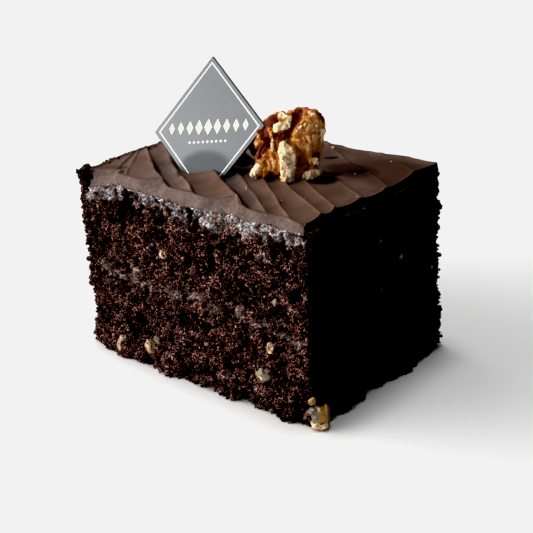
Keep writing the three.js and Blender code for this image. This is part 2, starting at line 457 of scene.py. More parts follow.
@dataclass(frozen=True)
class WalnutFinish:
    """A candied walnut half: amber syrup over skin, and cream flesh where it broke. Raised folds are painted
    tan as highlight and furrows stay darker as painted shade.
    """

    amber: Colour = (0.32, 0.085, 0.0015)
    gold: Colour = (0.58, 0.25, 0.02)
    # tan is a painted highlight on raised folds.
    tan: Colour = (0.7, 0.41, 0.17)
    skin: Colour = (0.14, 0.018, 0.0006)
    char: Colour = (0.07, 0.005, 0.0004)
    flesh: Colour = (0.84, 0.5, 0.2)
    pale: Colour = (0.98, 0.86, 0.6)

    def make(self) -> Material:
        """Builds the material.

        Returns:
            The material.
        """
        sheet = MaterialSheet("candied_walnut")
        bare = sheet.carried(Attribute.BARE)
        skin = sheet.carried(Attribute.SKIN)
        raised = sheet.carried(Attribute.TINT)
        cloud = sheet.noise(3.0, 4.0, 0.6)
        veins = sheet.noise(1.1, 4.0, 0.65, 4.0)
        fine = sheet.noise(0.45, 3.0, 0.6, 9.0)
        syrup = sheet.blend((cloud * 1.6 + (veins - 0.5)).between(0.6, 1.1), self.amber, self.gold)
        # Painted highlight on raised folds and tint daubs; furrows stay darker amber as painted shade.
        top = (raised + (veins - 0.5) * 1.5 + (fine - 0.5) * 0.9).between(0.55, 1.05)
        syrup = sheet.blend(top * 0.85, syrup, self.tan)
        dark = (skin * 1.2 + (veins - 0.5) * 1.2).between(0.25, 0.9)
        skin_tone = sheet.blend(cloud.between(0.4, 0.6), self.char, self.skin)
        colour = sheet.blend(dark, syrup, skin_tone)
        flesh = sheet.blend((fine * 0.6 + veins * 0.4).between(0.38, 0.56), self.flesh, self.pale)
        broken = (bare * 1.3 + (veins - 0.5) * 1.2 + (fine - 0.5) * 0.6).between(0.45, 0.75)
        colour = sheet.blend(broken, colour, flesh)
        sockets = {
            "Base Color": colour,
            "Roughness": 0.3 + broken * 0.3 + dark * 0.3 + (fine - 0.5) * 0.2,
            "Specular IOR Level": 0.14,
            "Subsurface Weight": 0.15,
            "Subsurface Radius": (1.0, 0.4, 0.15),
            "Subsurface Scale": 1.2 * MM,
            "Coat Weight": 0.42 - broken * 0.38 - dark * 0.36,
            "Coat Roughness": 0.07,
            "Normal": sheet.relief(veins * 0.5 + fine * 0.5, 0.6, 0.75),
        }
        return sheet.done(sockets)


@dataclass(frozen=True)
class PlaqueFinish:
    """Glossy slate-grey print on tempered chocolate, darker and duller in a patch near the lower corner.

    Attributes:
        low_patch_size: Half the patch's width and half its height, in millimetres.
        low_patch_foot: How far below the plaque's middle the patch's middle is.
    """

    face: Colour = (0.072, 0.084, 0.091)
    low_patch: Colour = (0.034, 0.041, 0.046)
    low_patch_size: tuple[float, float] = (10.5, 6.6)
    low_patch_foot: float = 12.7

    def make(self) -> Material:
        """Builds the material.

        Returns:
            The material.
        """
        sheet = MaterialSheet("plaque_face")
        cloud = sheet.noise(7.0, 3.0, 0.5)
        grain = sheet.noise(0.35, 2.0, 0.5, 2.0)
        across = (sheet.carried(Attribute.ACROSS) + 0.5) * (1 / self.low_patch_size[0])
        up = (sheet.carried(Attribute.UP) + self.low_patch_foot) * (1 / self.low_patch_size[1])
        edge = across * across + up * up + (sheet.noise(1.2, 3.0, 0.6, 8.0) - 0.5) * 0.35
        low_patch = edge.between(1.25, 0.5)
        face = sheet.blend(cloud.between(0.35, 0.65), self.face, [0.94 * part for part in self.face])
        sockets = {
            "Base Color": sheet.blend(low_patch * (0.8 + grain * 0.3), face, self.low_patch),
            "Roughness": 0.2 + (grain - 0.5) * 0.06 + low_patch * 0.36,
            "IOR": 1.5,
            "Coat Weight": 0.1,
            "Coat Roughness": 0.1,
            "Normal": sheet.relief(grain * 0.5 + cloud * 0.5, 0.03, 0.4),
        }
        return sheet.done(sockets)


@dataclass(frozen=True)
class PlainFinish:
    """A slightly mottled surface in two near colours.

    Attributes:
        size: Width of the mottling, in millimetres.
        rough: Mean roughness.
        depth: Height of its relief, in millimetres.
    """

    name: str
    first: Colour
    second: Colour
    size: float
    rough: float
    depth: float
    metallic: float = 0.0

    def make(self) -> Material:
        """Builds the material.

        Returns:
            The material.
        """
        sheet = MaterialSheet(self.name)
        cloud = sheet.noise(self.size, 4.0, 0.6)
        fine = sheet.noise(self.size / 5, 3.0, 0.6, 3.0)
        sockets = {
            "Base Color": sheet.blend(cloud.between(0.35, 0.65), self.first, self.second),
            "Roughness": self.rough + (fine - 0.5) * 0.2,
            "Metallic": self.metallic,
            "Normal": sheet.relief(fine * 0.5 + cloud * 0.5, self.depth, 0.6),
        }
        return sheet.done(sockets)


@dataclass(frozen=True)
class NutFinish:
    """Cut nut: cream flesh, yellower or greyer from bit to bit, with brown skin in places."""

    cream: Colour = (0.4, 0.25, 0.15)
    grey: Colour = (0.14, 0.115, 0.07)
    ochre: Colour = (0.44, 0.24, 0.025)
    pale: Colour = (0.7, 0.5, 0.27)
    skin: Colour = (0.1, 0.022, 0.008)

    def make(self) -> Material:
        """Builds the material.

        Returns:
            The material.
        """
        sheet = MaterialSheet("nut_flesh")
        cloud = sheet.noise(1.3, 4.0, 0.6)
        fine = sheet.noise(0.4, 3.0, 0.6, 6.0)
        greyed = (sheet.carried(Attribute.TINT) + (cloud - 0.5) * 0.9).clamped()
        flesh = sheet.blend(greyed, self.cream, self.grey)
        yellow = (sheet.carried(Attribute.YELLOW) + (fine - 0.5) * 0.8).between(0.3, 0.7)
        flesh = sheet.blend(yellow, flesh, self.ochre)
        bare = (sheet.carried(Attribute.BARE) + (cloud - 0.5) * 1.1).between(0.4, 0.75)
        flesh = sheet.blend(bare, flesh, self.pale)
        edge = (sheet.carried(Attribute.SKIN) + (cloud - 0.5) * 1.4).between(0.45, 0.7)
        sockets = {
            "Base Color": sheet.blend(edge, flesh, self.skin),
            "Roughness": 0.5 + (fine - 0.5) * 0.3,
            "Subsurface Weight": 0.1,
            "Subsurface Radius": (1.0, 0.7, 0.4),
            "Subsurface Scale": 1.0 * MM,
            "Coat Weight": 0.25 - edge * 0.1,
            "Normal": sheet.relief(fine * 0.5 + cloud * 0.5, 0.4, 0.8),
        }
        return sheet.done(sockets)


CHOCOLATE = PlainFinish("plaque_chocolate", (0.02, 0.012, 0.01), (0.03, 0.018, 0.014), 1.5, 0.35, 0.05)
WHITE_PRINT = PlainFinish("white_print", (0.9, 0.9, 0.88), (0.82, 0.82, 0.8), 0.9, 0.45, 0.02)
GILT_PRINT = PlainFinish("gilt_print", (0.8, 0.66, 0.32), (0.88, 0.82, 0.58), 0.9, 0.35, 0.02, 0.15)
PALE_FLOOR = PlainFinish("pale_floor", (0.86, 0.865, 0.86), (0.85, 0.855, 0.85), 60, 0.7, 0.02)


@dataclass(frozen=True)
class Finishes:
    """Every material of the slice, made once."""

    crumb: Material = field(default_factory=CrumbFinish().make)
    frosting: Material = field(default_factory=FrostingFinish().make)
    walnut: Material = field(default_factory=WalnutFinish().make)
    plaque: Material = field(default_factory=PlaqueFinish().make)
    nut: Material = field(default_factory=NutFinish().make)
    chocolate: Material = field(default_factory=CHOCOLATE.make)
    white: Material = field(default_factory=WHITE_PRINT.make)
    gilt: Material = field(default_factory=GILT_PRINT.make)


# ---------- plan and helpers


@dataclass
class SlicePlan:
    """Where the slice stands in the frame, and the last steps that every piece shares."""

    centre: Vector
    finishes: Finishes

    @classmethod
    def from_frame(cls, plaque_centre: Vector) -> SlicePlan:
        """Finds the slice's centre.

        Args:
            plaque_centre: Middle of the plaque in the slice's own space, in millimetres.

        Returns:
            The plan.
        """
        low, high = (Vector(corner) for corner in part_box("plaque"))
        return cls((low + high) / 2 - plaque_centre * MM, Finishes())

    def finish(
        self,
        bm: BMesh,
        name: str,
        nodes: Iterable[str],
        materials: Iterable[Material],
        smooth: bool = True,
    ) -> Object:
        """Turns a bmesh in millimetres into a piece of the slice.

        Args:
            bm: The mesh, which is freed.
            name: The piece's name.
            nodes: The frame's nodes that the piece stands for.
            materials: Its materials, by index.
            smooth: Whether its faces are shaded smooth.

        Returns:
            The piece's object.
        """
        place = Matrix.Translation(self.centre) @ Matrix.Scale(MM, 4)
        bmesh.ops.transform(bm, matrix=place, verts=bm.verts)
        mesh = bpy.data.meshes.new(name)
        bm.to_mesh(mesh)
        bm.free()
        for material in materials:
            mesh.materials.append(material)
        if smooth:
            mesh.shade_smooth()
        else:
            mesh.shade_flat()
        piece = bpy.data.objects.new(name, mesh)
        bpy.context.scene.collection.objects.link(piece)
        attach(piece, BODY)
        for node in nodes:
            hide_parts(node)
        return piece


def carry(bm: BMesh, attribute: Attribute) -> BMLayerItem:
    """Gives a bmesh's vertices a number that its finish reads."""
    return bm.verts.layers.float.new(attribute.value)


# ---------- cut block


@dataclass(frozen=True)
class Outline:
    """A rectangle with rounded corners, walked once round from the middle of its front side."""

    half_length: float = HALF_LENGTH
    half_depth: float = HALF_DEPTH
    radius: float = CORNER_RADIUS

    @property
    def length(self) -> float:
        """Length of the walk."""
        straight = 4 * (self.half_length + self.half_depth - 2 * self.radius)
        return straight + 2 * math.pi * self.radius

    @property
    def corner_shares(self) -> tuple[float, ...]:
        """Finds the four corners.

        Returns:
            Their places in the walk, as shares from 0 to 1.
        """
        arc = math.pi / 2 * self.radius
        x, y = self.half_length - self.radius, self.half_depth - self.radius
        first, last = x + arc / 2, x + 2 * y + 1.5 * arc
        places = (first, last, self.length - last, self.length - first)
        return tuple(place / self.length for place in places)

    def at(self, share: float) -> tuple[Vector, Vector]:
        """Finds a point of the walk.

        Args:
            share: How much of the walk is done, from 0 to 1.

        Returns:
            The point and the outward direction there.
        """
        left = (share % 1.0) * self.length
        x, y = self.half_length - self.radius, self.half_depth - self.radius
        arc = math.pi / 2 * self.radius
        starts = ((0, -y), (x, -y), (x, y), (-x, y), (-x, -y))
        sides = (x, 2 * y, 2 * x, 2 * y, x + arc)
        for turn, (place, side) in enumerate(zip(starts, sides)):
            start = Vector((*place, 0))
            heading = turn * math.pi / 2
            forward = Vector((math.cos(heading), math.sin(heading), 0))
            if left <= side:
                outward = Vector((forward.y, -forward.x, 0))
                return start + forward * left + outward * self.radius, outward
            left -= side
            if left <= arc:
                angle = heading + left / self.radius
                outward = Vector((math.sin(angle), -math.cos(angle), 0))
                return start + forward * side + outward * self.radius, outward
            left -= arc
        raise ValueError("the walk has no such place")

    def spine(self, point: Vector) -> Vector:
        """Nearest point of the middle line that the outline shrinks to."""
        reach = self.half_length - self.half_depth
        return Vector((max(-reach, min(reach, point.x)), 0, point.z))


def wrapped(columns: int, rows: int) -> BMesh:
    """A flat grid that a shell is wrapped from, 1 wide and 1 high round the origin.

    Args:
        columns: Number of cells round the outline. It is even, so that both long sides meet.
        rows: Number of cells from the middle of the underside to the middle of the top.

    Returns:
        The grid.
    """
    bm = bmesh.new()
    bmesh.ops.create_grid(bm, x_segments=columns, y_segments=rows, size=0.5)
    return bm


def closed(bm: BMesh) -> None:
    """Joins a wrapped grid's ends and middle lines, and turns its faces outward.

    Args:
        bm: The wrapped grid.
    """
    bmesh.ops.remove_doubles(bm, verts=bm.verts, dist=WELD)
    bmesh.ops.dissolve_degenerate(bm, dist=SLIVER, edges=bm.edges)
    bmesh.ops.recalc_face_normals(bm, faces=bm.faces)


@dataclass(frozen=True)
class Blot:
    """A ragged oval on the front face, by its middle, width and height in millimetres."""

    x: float
    z: float
    width: float
    height: float

    def distance(self, point: Vector, ragged: float) -> float:
        """Measures how far out in the oval a point lies.

        Args:
            point: The point, in millimetres.
            ragged: How much the oval is stretched there.

        Returns:
            0 in the oval's middle and 1 on its edge.
        """
        across = (point.x - self.x) / (self.width / 2 * ragged)
        up = (point.z - self.z) / (self.height / 2 * ragged)
        return math.hypot(across, up)


@dataclass(frozen=True)
class Hollow(Blot):
    """A hole, up to depth millimetres deep, where crumb fell out of the front face; it is dug in, and its
    darkness is painted shade.
    """

    depth: float = 1.8

    def dug(self, point: Vector) -> float:
        """How deep the hollow is at a point of the front face, in millimetres."""
        outness = self.distance(point, 1 + 0.45 * wobble(point, 1.6, 3.7))
        return ramp(outness, 1.15, 0.55) * self.depth


FRONT_HOLLOWS = (
    Hollow(-24.2, 53.0, 4.4, 8.0, 2.6),
    Hollow(-27.2, 47.0, 3.6, 7.0, 2.0),
    Hollow(1.8, 54.5, 2.6, 5.0, 2.2),
    Hollow(4.5, 51.5, 2.4, 5.0, 1.8),
    Hollow(9.8, 42.0, 3.8, 7.6, 2.2),
    Hollow(1.0, 45.5, 3.6, 2.4, 1.4),
    Hollow(41.2, 39.2, 4.8, 5.0, 2.0),
    Hollow(37.0, 44.5, 3.0, 4.0, 1.4),
    Hollow(-3.0, 19.4, 5.6, 4.2, 2.2),
    Hollow(5.4, 19.8, 5.6, 3.6, 1.8),
    Hollow(21.7, 24.2, 3.0, 2.6, 2.0),
    Hollow(29.6, 22.6, 4.4, 2.6, 1.8),
    Hollow(-22.4, 15.8, 3.0, 5.0, 1.6),
    Hollow(-13.8, 36.5, 3.0, 2.6, 1.2),
    Hollow(14.3, 47.0, 2.6, 3.0, 1.2),
    Hollow(-38.0, 43.0, 2.2, 3.2, 1.2),
    Hollow(14.5, 10.0, 3.6, 3.0, 1.4),
    Hollow(42.6, 3.6, 7.0, 8.6, 1.8),
)


@dataclass(frozen=True)
class Bulge:
    """A place at the foot where the crumb spread further, or less far, than beside it.

    Attributes:
        middle: Its place along the side: x on the long sides and y on the short ones.
        width: Its width.
        out: How far the foot stands out there, in millimetres.
    """

    middle: float
    width: float
    out: float

    def at(self, along: float, z: float) -> float:
        """Returns how far it moves the side, at a place along it and a height."""
        return self.out * ramp(abs(along - self.middle), self.width, 0.2 * self.width) * ramp(z, 9, 2)


LONG_BULGES = (
    Bulge(-43.0, 6.0, -1.5),
    Bulge(-29.0, 5.0, 1.0),
    Bulge(-9.0, 6.0, 1.6),
    Bulge(13.5, 6.0, 0.8),
    Bulge(21.5, 4.0, -1.6),
    Bulge(37.0, 5.0, 0.8),
)
SHORT_BULGES = (
    Bulge(-17.0, 6.0, 1.2),
    Bulge(-5.5, 4.5, -2.0),
    Bulge(13.0, 5.0, 1.2),
    Bulge(29.0, 6.0, -1.5),
)


def foot_share(z: float) -> float:
    """How much of the foot's flare there is at height z."""
    return ramp(z, FOOT_HEIGHT, -6) ** 1.4


def facing_right(outward: Vector) -> float:
    """How squarely a side that faces outward is on the +X side, from 0 to 1."""
    return ramp(outward.x, 0.25, 0.8)


def floor_level(_: Vector) -> float:
    """Height of the block's underside, which is flat."""
    return 0.0


def frosting_floor(point: Vector) -> float:
    """Height of the frosting's underside: it is thicker towards the -X end.

    Args:
        point: A point of the block, of which x and y count.

    Returns:
        The height, in millimetres.
    """
    level = mixed(54.0, 57.2, ramp(point.x, -43, -28)) + 0.8 * ramp(point.x, 6, 16)
    level -= 0.9 * ramp(abs(point.x + 2), 9, 4)
    return level + 0.45 * wobble(flattened(point), 5, 3.1)


def filling_floor(point: Vector) -> float:
    """Height of the filling's underside."""
    return FILLING_BOTTOM + 0.5 * wobble(flattened(point), 16, 6.4)


def filling_top(point: Vector) -> float:
    """Height of the filling's top."""
    return filling_floor(point) + 2.0 + 0.6 * wobble(flattened(point, 9), 8, 2.4)


@dataclass(frozen=True)
class Patch(Blot):
    """A smear of filling on the front face."""

    def share(self, point: Vector) -> float:
        """How much of the patch covers a point of the front face."""
        return ramp(self.distance(point, 1 + 0.5 * wobble(point, 2.2, 6.3)), 1.3, 0.5)


FRONT_PATCHES = (
    Patch(-36.5, 29.5, 4.4, 4.4),
    Patch(-31.5, 27.4, 8.0, 2.8),
    Patch(-24.5, 29.2, 5.4, 5.8),
    Patch(-18.0, 26.4, 8.0, 3.6),
    Patch(-6.0, 27.2, 9.0, 4.0),
    Patch(2.0, 28.0, 9.0, 4.6),
    Patch(9.5, 26.4, 8.0, 3.8),
    Patch(20.0, 28.4, 5.4, 4.4),
    Patch(27.5, 26.6, 8.0, 2.4),
    Patch(35.0, 25.6, 9.0, 2.4),
    Patch(42.5, 25.0, 5.0, 2.4),
    Patch(30.5, 48.3, 4.8, 3.0),
)


def smear_at(point: Vector) -> float:
    """How much frosting the knife dragged into the crumb at a point of the block's side.

    Args:
        point: A point of the side, in millimetres.

    Returns:
        0 for clean crumb, up to 1 for a full smear.
    """
    floor = frosting_floor(point)
    reach = 6.8 + 2.4 * wobble(point, 6, 1.3)
    dragged = ramp(point.z, floor - reach, floor - 0.4 * reach)
    dragged *= 0.95 + 0.8 * wobble(point, 2.2, 8.8)
    if point.y < -0.9 * HALF_DEPTH:
        squeezed = min(0.7, max(patch.share(point) for patch in FRONT_PATCHES))
    else:
        dragged *= 0.4
        squeezed = 0.6 * ramp(abs(point.z - 25.8), 2.6, 1.0) * ramp(wobble(point, 6.5, 2.2), 0.0, 0.5)
    rim = ramp(point.z, floor - 0.9, floor)
    # The pale smear is left off the +X side, which is kept dark as painted shade.
    left_of_right = ramp(point.x - HALF_LENGTH, 0.4, -0.2)
    return limited(max(max(dragged, rim) * left_of_right, squeezed))


def shaded(outward: Vector) -> float:
    """How much painted shade darkens the crumb on a side that faces outward: the +X side, away from the
    light, gets it.
    """
    return 0.88 * facing_right(outward)


@dataclass(frozen=True)
class CrumbRelief:
    """The uneven surface of cut crumb.

    Each size is the width of a typical clump, grain or pore, and each height or depth is how far
    one stands out or goes in, all in millimetres. The grit is unevenness from point to point.
    """

    clump_size: float = 4.6
    clump_height: float = 0.8
    grain_size: float = 0.7
    grain_height: float = 0.4
    pore_size: float = 1.9
    pore_depth: float = 1.6
    small_pore_size: float = 0.8
    small_pore_depth: float = 0.7
    grit: float = 0.22

    def at(self, point: Vector, outward: Vector) -> tuple[float, float, float]:
        """Works out the surface at a point of the plain side.

        Args:
            point: The point, in millimetres.
            outward: The side's outward direction there.

        Returns:
            How far the surface stands out, how open to light it is and how smeared.
        """
        bent = point + noise.noise_vector(point / 2.4) * 0.9
        clump = noise.fractal(bent / self.clump_size, 0.8, 2.1, 3)
        near = noise.voronoi(bent / self.grain_size)[0]
        grain = 1 - min(1.0, (near[0] / 0.62) ** 2)
        small = noise.noise(bent / 0.36)
        wide = noise.noise(point / 7.5 + Vector((2, 7, 1)))
        pore = ramp(noise.noise(bent / self.pore_size + Vector((9, 4, 2))) - 0.3 * wide, 0.12, 0.4)
        small_pore = ramp(noise.noise(bent / self.small_pore_size + Vector((3, 8, 5))), 0.1, 0.38)
        dug = 0.0
        if outward.y < -0.9:
            dug = max(hollow.dug(point) for hollow in FRONT_HOLLOWS)
        smear = smear_at(point)
        filled = 1 - 0.4 * smear
        height = self.clump_height * clump + self.grain_height * (grain - 0.45)
        height += 0.3 * small + random.uniform(-self.grit, self.grit)
        height -= (self.pore_depth * pore + self.small_pore_depth * small_pore) * filled + dug
        # Openness is painted light and shade: open grain and clump tops read lighter, pores and hollows near
        # black.
        is_open = 0.4 + 0.5 * grain + 0.5 * small + 0.45 * clump + 0.3 * wide
        is_open -= (0.9 * pore + 0.6 * small_pore) * filled + 1.0 * dug
        return height, limited(is_open), smear * (1 - min(1.0, dug))


@dataclass(frozen=True)
class CutSide:
    """The side of the cut block: its outline, its spreading foot and its crumb."""

    outline: Outline = field(default_factory=Outline)
    relief: CrumbRelief = field(default_factory=CrumbRelief)

    def base(self, share: float, z: float) -> tuple[Vector, Vector]:
        """Finds a point of the side before its crumb is added.

        Args:
            share: Place in the walk round the outline.
            z: Height, in millimetres.

        Returns:
            The point and the outward direction.
        """
        point, outward = self.outline.at(share)
        flat = flattened(point, z)
        foot = foot_share(z)
        stand = 0.75 + FOOT_FLARE * foot + wobble(flat, 8, 4.4) * (0.3 + 0.6 * foot)
        if abs(outward.y) > 0.7:
            stand += sum(bulge.at(point.x, z) for bulge in LONG_BULGES)
        else:
            stand += sum(bulge.at(point.y, z) for bulge in SHORT_BULGES)
        corner = ramp(abs(point.x) / HALF_LENGTH + abs(point.y) / HALF_DEPTH, 1.9, 2.0)
        stand -= corner * CORNER_CRUMBLE * ramp(z, 5, -2)
        if point.x < -0.9 * HALF_LENGTH:
            stand -= WAIST_DEPTH * ramp(abs(z - WAIST_HEIGHT), 6.5, 2.5)
            stand += LIP_DEPTH * ramp(abs(z - LIP_HEIGHT), 3.2, 1.0)
        return flat + outward * stand, outward

    def at(self, share: float, z: float) -> tuple[Vector, Vector, float, float]:
        """Finds a point of the crumb's surface.

        Args:
            share: Place in the walk round the outline.
            z: Height, in millimetres.

        Returns:
            The point, the outward direction, its openness and its smear.
        """
        point, outward = self.base(share, z)
        height, is_open, smear = self.relief.at(point, outward)
        sideways = noise.noise_vector(point / 0.9 + Vector((5, 5, 5))) * 0.22
        return point + outward * height + sideways, outward, is_open, smear


Level = Callable[[Vector], float]


@dataclass(frozen=True)
class CrumbLayer:
    """A level of the block: one of the two layers of chocolate crumb, or the filling.

    The filling is squeezed so thin that crumb covers it, except where it is smeared.

    Attributes:
        node: The frame's node that it stands for.
        slot: The record's material slot; not used.
        floor: Height of its underside.
        ceiling: Height of its top.
        rows: Number of cells from its underside to its top.
        columns: Number of cells round the block.
        insets: Distances in from the side of the rings that close its underside and top.
    """

    name: str
    node: str
    slot: str
    side: CutSide
    floor: Level
    ceiling: Level
    rows: int
    columns: int = 936
    insets: tuple[float, ...] = (HALF_DEPTH, 12.0, 4.0, 1.6, 0.6)

    def build(self, plan: SlicePlan) -> Object:
        """Models the layer as a shell with a closed underside and top, and dresses it.

        Args:
            plan: Places and dresses it.

        Returns:
            The piece's object.
        """
        count = self.rows + 2 * len(self.insets)
        bm = wrapped(self.columns, count)
        open_layer = carry(bm, Attribute.OPEN)
        smear_layer = carry(bm, Attribute.SMEAR)
        shade_layer = carry(bm, Attribute.SHADE)
        for vert in bm.verts:
            row = round((vert.co.y + 0.5) * count) - len(self.insets)
            share = vert.co.x + 0.5
            flat, _ = self.side.outline.at(share)
            up = limited(row / self.rows)
            z = mixed(self.floor(flat), self.ceiling(flat), up)
            if 0 <= row <= self.rows:
                point, outward, is_open, smear = self.side.at(share, z)
                edge = min(ramp(up, 0, 0.03), ramp(up, 1, 0.97))
                point.z = max(0.0, mixed(z, point.z, edge))
                vert.co = point
                vert[open_layer] = is_open
                vert[smear_layer] = smear
                # Painted shade on the +X side.
                vert[shade_layer] = shaded(outward)
            else:
                step = -row - 1 if row < 0 else row - self.rows - 1
                inset = self.insets[len(self.insets) - 1 - step]
                point, _ = self.side.base(share, z)
                vert.co = point.lerp(self.side.outline.spine(point), inset / HALF_DEPTH)
                vert[open_layer] = 0.5
        closed(bm)
        return plan.finish(bm, self.name, [self.node], [plan.finishes.crumb], False)


# ---------- frosting


@dataclass(frozen=True)
class Ridge:
    """One comb mark, along a line that the comb's turn and its own slope and bend set.

    Attributes:
        across: Distance from the slice's middle, square to the comb's strokes, in millimetres.
        slope: How fast it drifts sideways along its length.
        bend: How far it curves away towards its far end, in millimetres.
        drop: Height of its step, in millimetres.
        start: Distance along the strokes where the step has half its height.
    """

    across: float
    slope: float
    bend: float
    drop: float
    start: float = -99.0

    def line(self, along: float) -> float:
        """Returns where the ridge runs, square to the strokes, at a distance along them."""
        drift = self.slope * (max(along, FAN_START) - FAN_MIDDLE)
        return self.across + drift + self.bend * ramp(-along, 4, 36)

    def step(self, along: float) -> float:
        """Returns the height of the step at a distance along the strokes."""
        return self.drop * (0.25 + 0.75 * ramp(along, self.start - 8, self.start + 8))


@dataclass(frozen=True)
class Comb:
    """The combed top of the frosting, whose ridges run from the front to the back."""

    angle: float = math.radians(-32)
    step_width: float = 0.75
    lip_height: float = 0.14
    lip_width: float = 0.4
    ridges: tuple[Ridge, ...] = (
        Ridge(-60.0, 0.0, 16, 0.3),
        Ridge(-44.5, -0.02, 13, 0.25),
        Ridge(-39.0, -0.02, 9, 0.1),
        Ridge(-29.9, -0.02, 2.5, 2.6, -19.0),
        Ridge(-23.9, -0.04, 2, 1.7, -8.0),
        Ridge(-13.6, 0.02, 1, 3.2),
        Ridge(-7.7, -0.05, 1, 1.2),
        Ridge(-2.1, -0.08, 1, 1.2),
        Ridge(3.0, 0.06, 1, 0.95),
        Ridge(8.6, 0.05, 1, 0.8),
        Ridge(18.2, 0.07, 0, 0.55),
        Ridge(28.3, 0.09, 0, 0.5),
        Ridge(40.0, 0.12, 0, 0.35),
        Ridge(60.0, 0.12, 0, 0.3),
    )

    def place(self, point: Vector) -> tuple[int, float, float, float]:
        """Finds where a point of the top lies between the ridges.

        Args:
            point: The point, of which x and y count.

        Returns:
            The index of the ridge before it, its distances from that ridge and to the next one,
            and how far along the strokes it is.
        """
        along = point.x * math.cos(self.angle) + point.y * math.sin(self.angle)
        across = point.y * math.cos(self.angle) - point.x * math.sin(self.angle)
        across += 0.25 * wobble(flattened(point), 9, 2.0)
        lines = [ridge.line(along) for ridge in self.ridges]
        index = max(0, min(len(lines) - 2, bisect_right(lines, across) - 1))
        return index, across - lines[index], lines[index + 1] - across, along

    def lift(self, point: Vector) -> tuple[float, float]:
        """Works out the comb's mark at a point of the top.

        Args:
            point: The point, of which x and y count.

        Returns:
            How much it lifts the top, in millimetres, and how much painted shade the trough has there.
        """
        index, gone, left, along = self.place(point)
        rise = gone / (gone + left)
        fresh = gone / self.step_width
        drop, lip = self.ridges[index].step(along), self.ridges[index + 1].step(along)
        body = mixed(-0.55 * drop, 0.45 * lip, 0.3 * rise + 0.7 * rise**2.6)
        body += self.lip_height * ramp(left, 2 * self.lip_width, 0)
        start = 0.45 * drop + self.lip_height
        # Painted shade in the trough behind each high step.
        shade = ramp(drop, 0.3, 2.0) * ramp(gone, drop, 0.45 * drop) * ramp(fresh, 0.3, 1)
        return mixed(start, body, ramp(fresh, 0, 1)), shade


@dataclass(frozen=True)
class Swell:
    """A place where a comb stroke pushed the lip of the cut band inward, furthest at x."""

    x: float
    reach: float

    def share(self, x: float) -> float:
        """How much of its reach it has at x: it grows slowly and ends sooner."""
        return ramp(x, self.x - 10, self.x) * ramp(x, self.x + 5.5, self.x - 0.5)


@dataclass(frozen=True)
class Mark:
    """A spot of the top that stands out of the comb's pattern; its darkness is painted shade.

    Attributes:
        size: Half its length and half its width, in millimetres.
        turn: How its length is turned from the X axis, in degrees.
        lift: How much it lifts the top, in millimetres.
        shade: How much painted shade it has, from 0 to 1.
    """

    x: float
    y: float
    size: tuple[float, float]
    turn: float
    lift: float
    shade: float

    def share(self, point: Vector) -> float:
        """How much of the mark a point of the top has.

        Args:
            point: The point, of which x and y count.

        Returns:
            A share from 0 to 1.
        """
        turn = math.radians(self.turn)
        x, y = point.x - self.x, point.y - self.y
        along = x * math.cos(turn) + y * math.sin(turn)
        across = y * math.cos(turn) - x * math.sin(turn)
        return ramp(math.hypot(along / self.size[0], across / self.size[1]), 1.15, 0.5)


